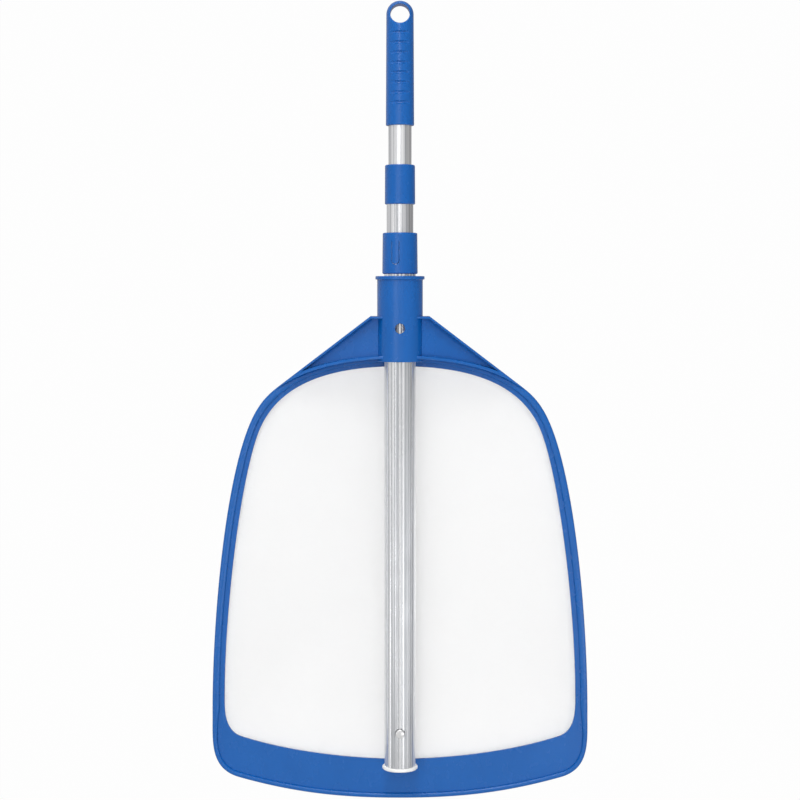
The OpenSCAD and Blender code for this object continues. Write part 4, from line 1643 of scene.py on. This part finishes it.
@dataclass
class Studio:
    """Camera, lamps, floor and backdrop."""

    eye: Triple = (0.0, -1.733, -0.2616)
    pitch_down: float = 3.5
    lens: float = 81.0
    sensor: float = 36.0
    clip: Pair = (0.05, 50)
    aim: Triple = (0.0, 0.0, -0.4)
    floor_height: float = -1.95
    floor_half: float = 4.0
    floor_mirrored: float = 0.85
    backdrop_depth: float = 6.0
    backdrop_half: float = 3.4
    backdrop_low: float = -3.6
    backdrop_high: float = 4.6
    backdrop_mirrored: float = 0.4
    paper_grey: float = 0.6
    paper_glow: float = 0.98
    ambient: float = 0.46
    mirrored: float = 0.80
    shade_level: float = 0.36
    shade_side: Triple = (0.866, 0.5, 0.0)
    shade_start: float = 0.1

    LAMPS = (
        Lamp("front_box", (-0.3, -2.2, -0.2), (2.0, 1.0), 10, mirrored=False),
        Lamp("front_strip", (-0.2, -2.2, 0.6), (0.4, 0.9), 5.0),
        Lamp("middle_strip", (-0.8, -2.0, -0.22), (0.7, 0.65), 1.7),
        Lamp("low_fill", (0.0, -1.7, -0.95), (1.2, 0.4), 3.5, mirrored=False),
        Lamp("low_left", (-1.15, -1.5, -0.85), (0.7, 0.35), 1.8),
        Lamp("low_right", (0.8, -1.6, -0.95), (1.0, 0.35), 2.4),
        Lamp("right_box", (1.7, -0.9, -0.85), (1.5, 0.35), 3.6),
        Lamp("top_strip", (-0.1, -1.3, 1.25), (0.5, 0.6), 11),
        Lamp("top_box", (-0.4, -0.5, 1.4), (1.6, 1.0), 8),
        Lamp("back_box", (0.3, 2.2, 0.4), (2.0, 1.0), 11, mirrored=False),
    )

    def camera(self) -> None:
        """Places the camera."""
        data = bpy.data.cameras.new("camera")
        data.lens, data.sensor_width = self.lens, self.sensor
        data.clip_start, data.clip_end = self.clip
        made = linked("camera", data)
        made.location = self.eye
        made.rotation_euler = (math.radians(90 - self.pitch_down), 0, 0)
        bpy.context.scene.camera = made

    def paper(self, name: str, mirrored: float) -> Material:
        """White studio paper: a direct look shows it plain white.

        Args:
            name: the material's name.
            mirrored: share of that white which a reflection shows.

        Returns:
            The material.
        """
        shader = Shader(name)
        shader.surface(Base_Color=(self.paper_grey,) * 3 + (1,), Roughness=0.9)
        rays = shader.add("ShaderNodeLightPath").outputs
        dimmed = shader.calc("MULTIPLY", rays["Is Glossy Ray"], 1 - mirrored)
        glow = shader.add("ShaderNodeEmission", Strength=shader.calc("SUBTRACT", 1.0, dimmed))
        straight = shader.calc("MAXIMUM", rays["Is Camera Ray"], rays["Is Transmission Ray"])
        seen = shader.calc("MAXIMUM", straight, rays["Is Glossy Ray"])
        mix = shader.add("ShaderNodeMixShader", Fac=shader.calc("MULTIPLY", seen, self.paper_glow))
        shader.link(shader.bsdf.outputs[0], mix.inputs[1])
        shader.link(glow.outputs[0], mix.inputs[2])
        shader.link(mix.outputs[0], shader.tree.nodes["Material Output"].inputs["Surface"])
        return shader.material

    def panel(self, name: str, corners: list[Triple], mirrored: float) -> None:
        """One flat sheet of the studio's paper.

        Args:
            name: the sheet's name, with which its material's name starts.
            corners: its four corners.
            mirrored: share of its white which a reflection shows.
        """
        made = raw_mesh(name, corners, [], [(0, 1, 2, 3)])
        made.data.materials.append(self.paper(f"{name}_paper", mirrored))
        made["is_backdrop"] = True

    def surroundings(self) -> None:
        """The plain light from all round, mirrored darker towards one side."""
        world = bpy.data.worlds.new("studio")
        bpy.context.scene.world = world
        world.use_nodes = True
        sky = Nodes(world.node_tree)
        light = sky.tree.nodes["Background"]
        light.inputs["Color"].default_value = (1, 1, 1, 1)
        rays = sky.add("ShaderNodeLightPath").outputs
        towards = sky.add("ShaderNodeVectorMath", operation="DOT_PRODUCT")
        sky.link(sky.add("ShaderNodeTexCoord").outputs["Generated"], towards.inputs[0])
        towards.inputs[1].default_value = self.shade_side
        shown = sky.ranged(towards.outputs["Value"], self.mirrored, self.shade_level,
                           self.shade_start, 1.0, "SMOOTHSTEP")
        change = sky.calc("SUBTRACT", shown, self.ambient)
        seen = sky.calc("MULTIPLY_ADD", rays["Is Glossy Ray"], change, self.ambient)
        total = sky.calc("MULTIPLY_ADD", rays["Is Camera Ray"], 1 - self.ambient, seen)
        sky.link(total, light.inputs["Strength"])

    def build(self) -> None:
        """Builds the studio."""
        self.camera()
        half, level = self.floor_half, self.floor_height
        self.panel("floor", [(-half, -half, level), (half, -half, level), (half, half, level),
                             (-half, half, level)], self.floor_mirrored)
        wide, far = self.backdrop_half, self.backdrop_depth
        low, high = self.backdrop_low, self.backdrop_high
        self.panel("backdrop", [(-wide, far, low), (wide, far, low), (wide, far, high),
                                (-wide, far, high)], self.backdrop_mirrored)
        self.surroundings()
        for lamp in self.LAMPS:
            lamp.build(Vector(self.aim))
        bpy.context.scene.view_settings.view_transform = "Standard"


# ---- assembly -------------------------------------------------------------------------


def corners(low: Vector, high: Vector) -> list[list[float]]:
    """Two corners as plain lists of numbers."""
    return [[float(c) for c in low], [float(c) for c in high]]


def main() -> None:
    """Builds the skimmer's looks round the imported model."""
    logging.basicConfig(level=logging.INFO, format="%(message)s")
    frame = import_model()
    packed = corners(*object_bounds())
    Studio().build()
    materials = Finishes().build()
    PackedNodes().dress_all(frame["nodes"], materials)
    outline, groove = HoopOutline(), NetGroove()
    button_height = sum(corner.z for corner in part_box("snap_button")) / 2
    sleeve_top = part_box("lower_sleeve")[1].z
    pieces = [ScoopMoulding(outline, groove).build(materials["blue"])]
    pieces += Net(outline, groove).build(materials)
    pieces.append(Grip().build(materials["blue"]))
    pieces.append(FlutedTube().build(materials["fluted_tube"], button_height, sleeve_top))
    pieces.append(SnapButton().build(materials["steel"], button_height))
    for piece in pieces:
        LOG.info("%s: %d faces", piece.name, len(piece.data.polygons))
    visual = corners(*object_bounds())


if __name__ == "__main__":
    main()
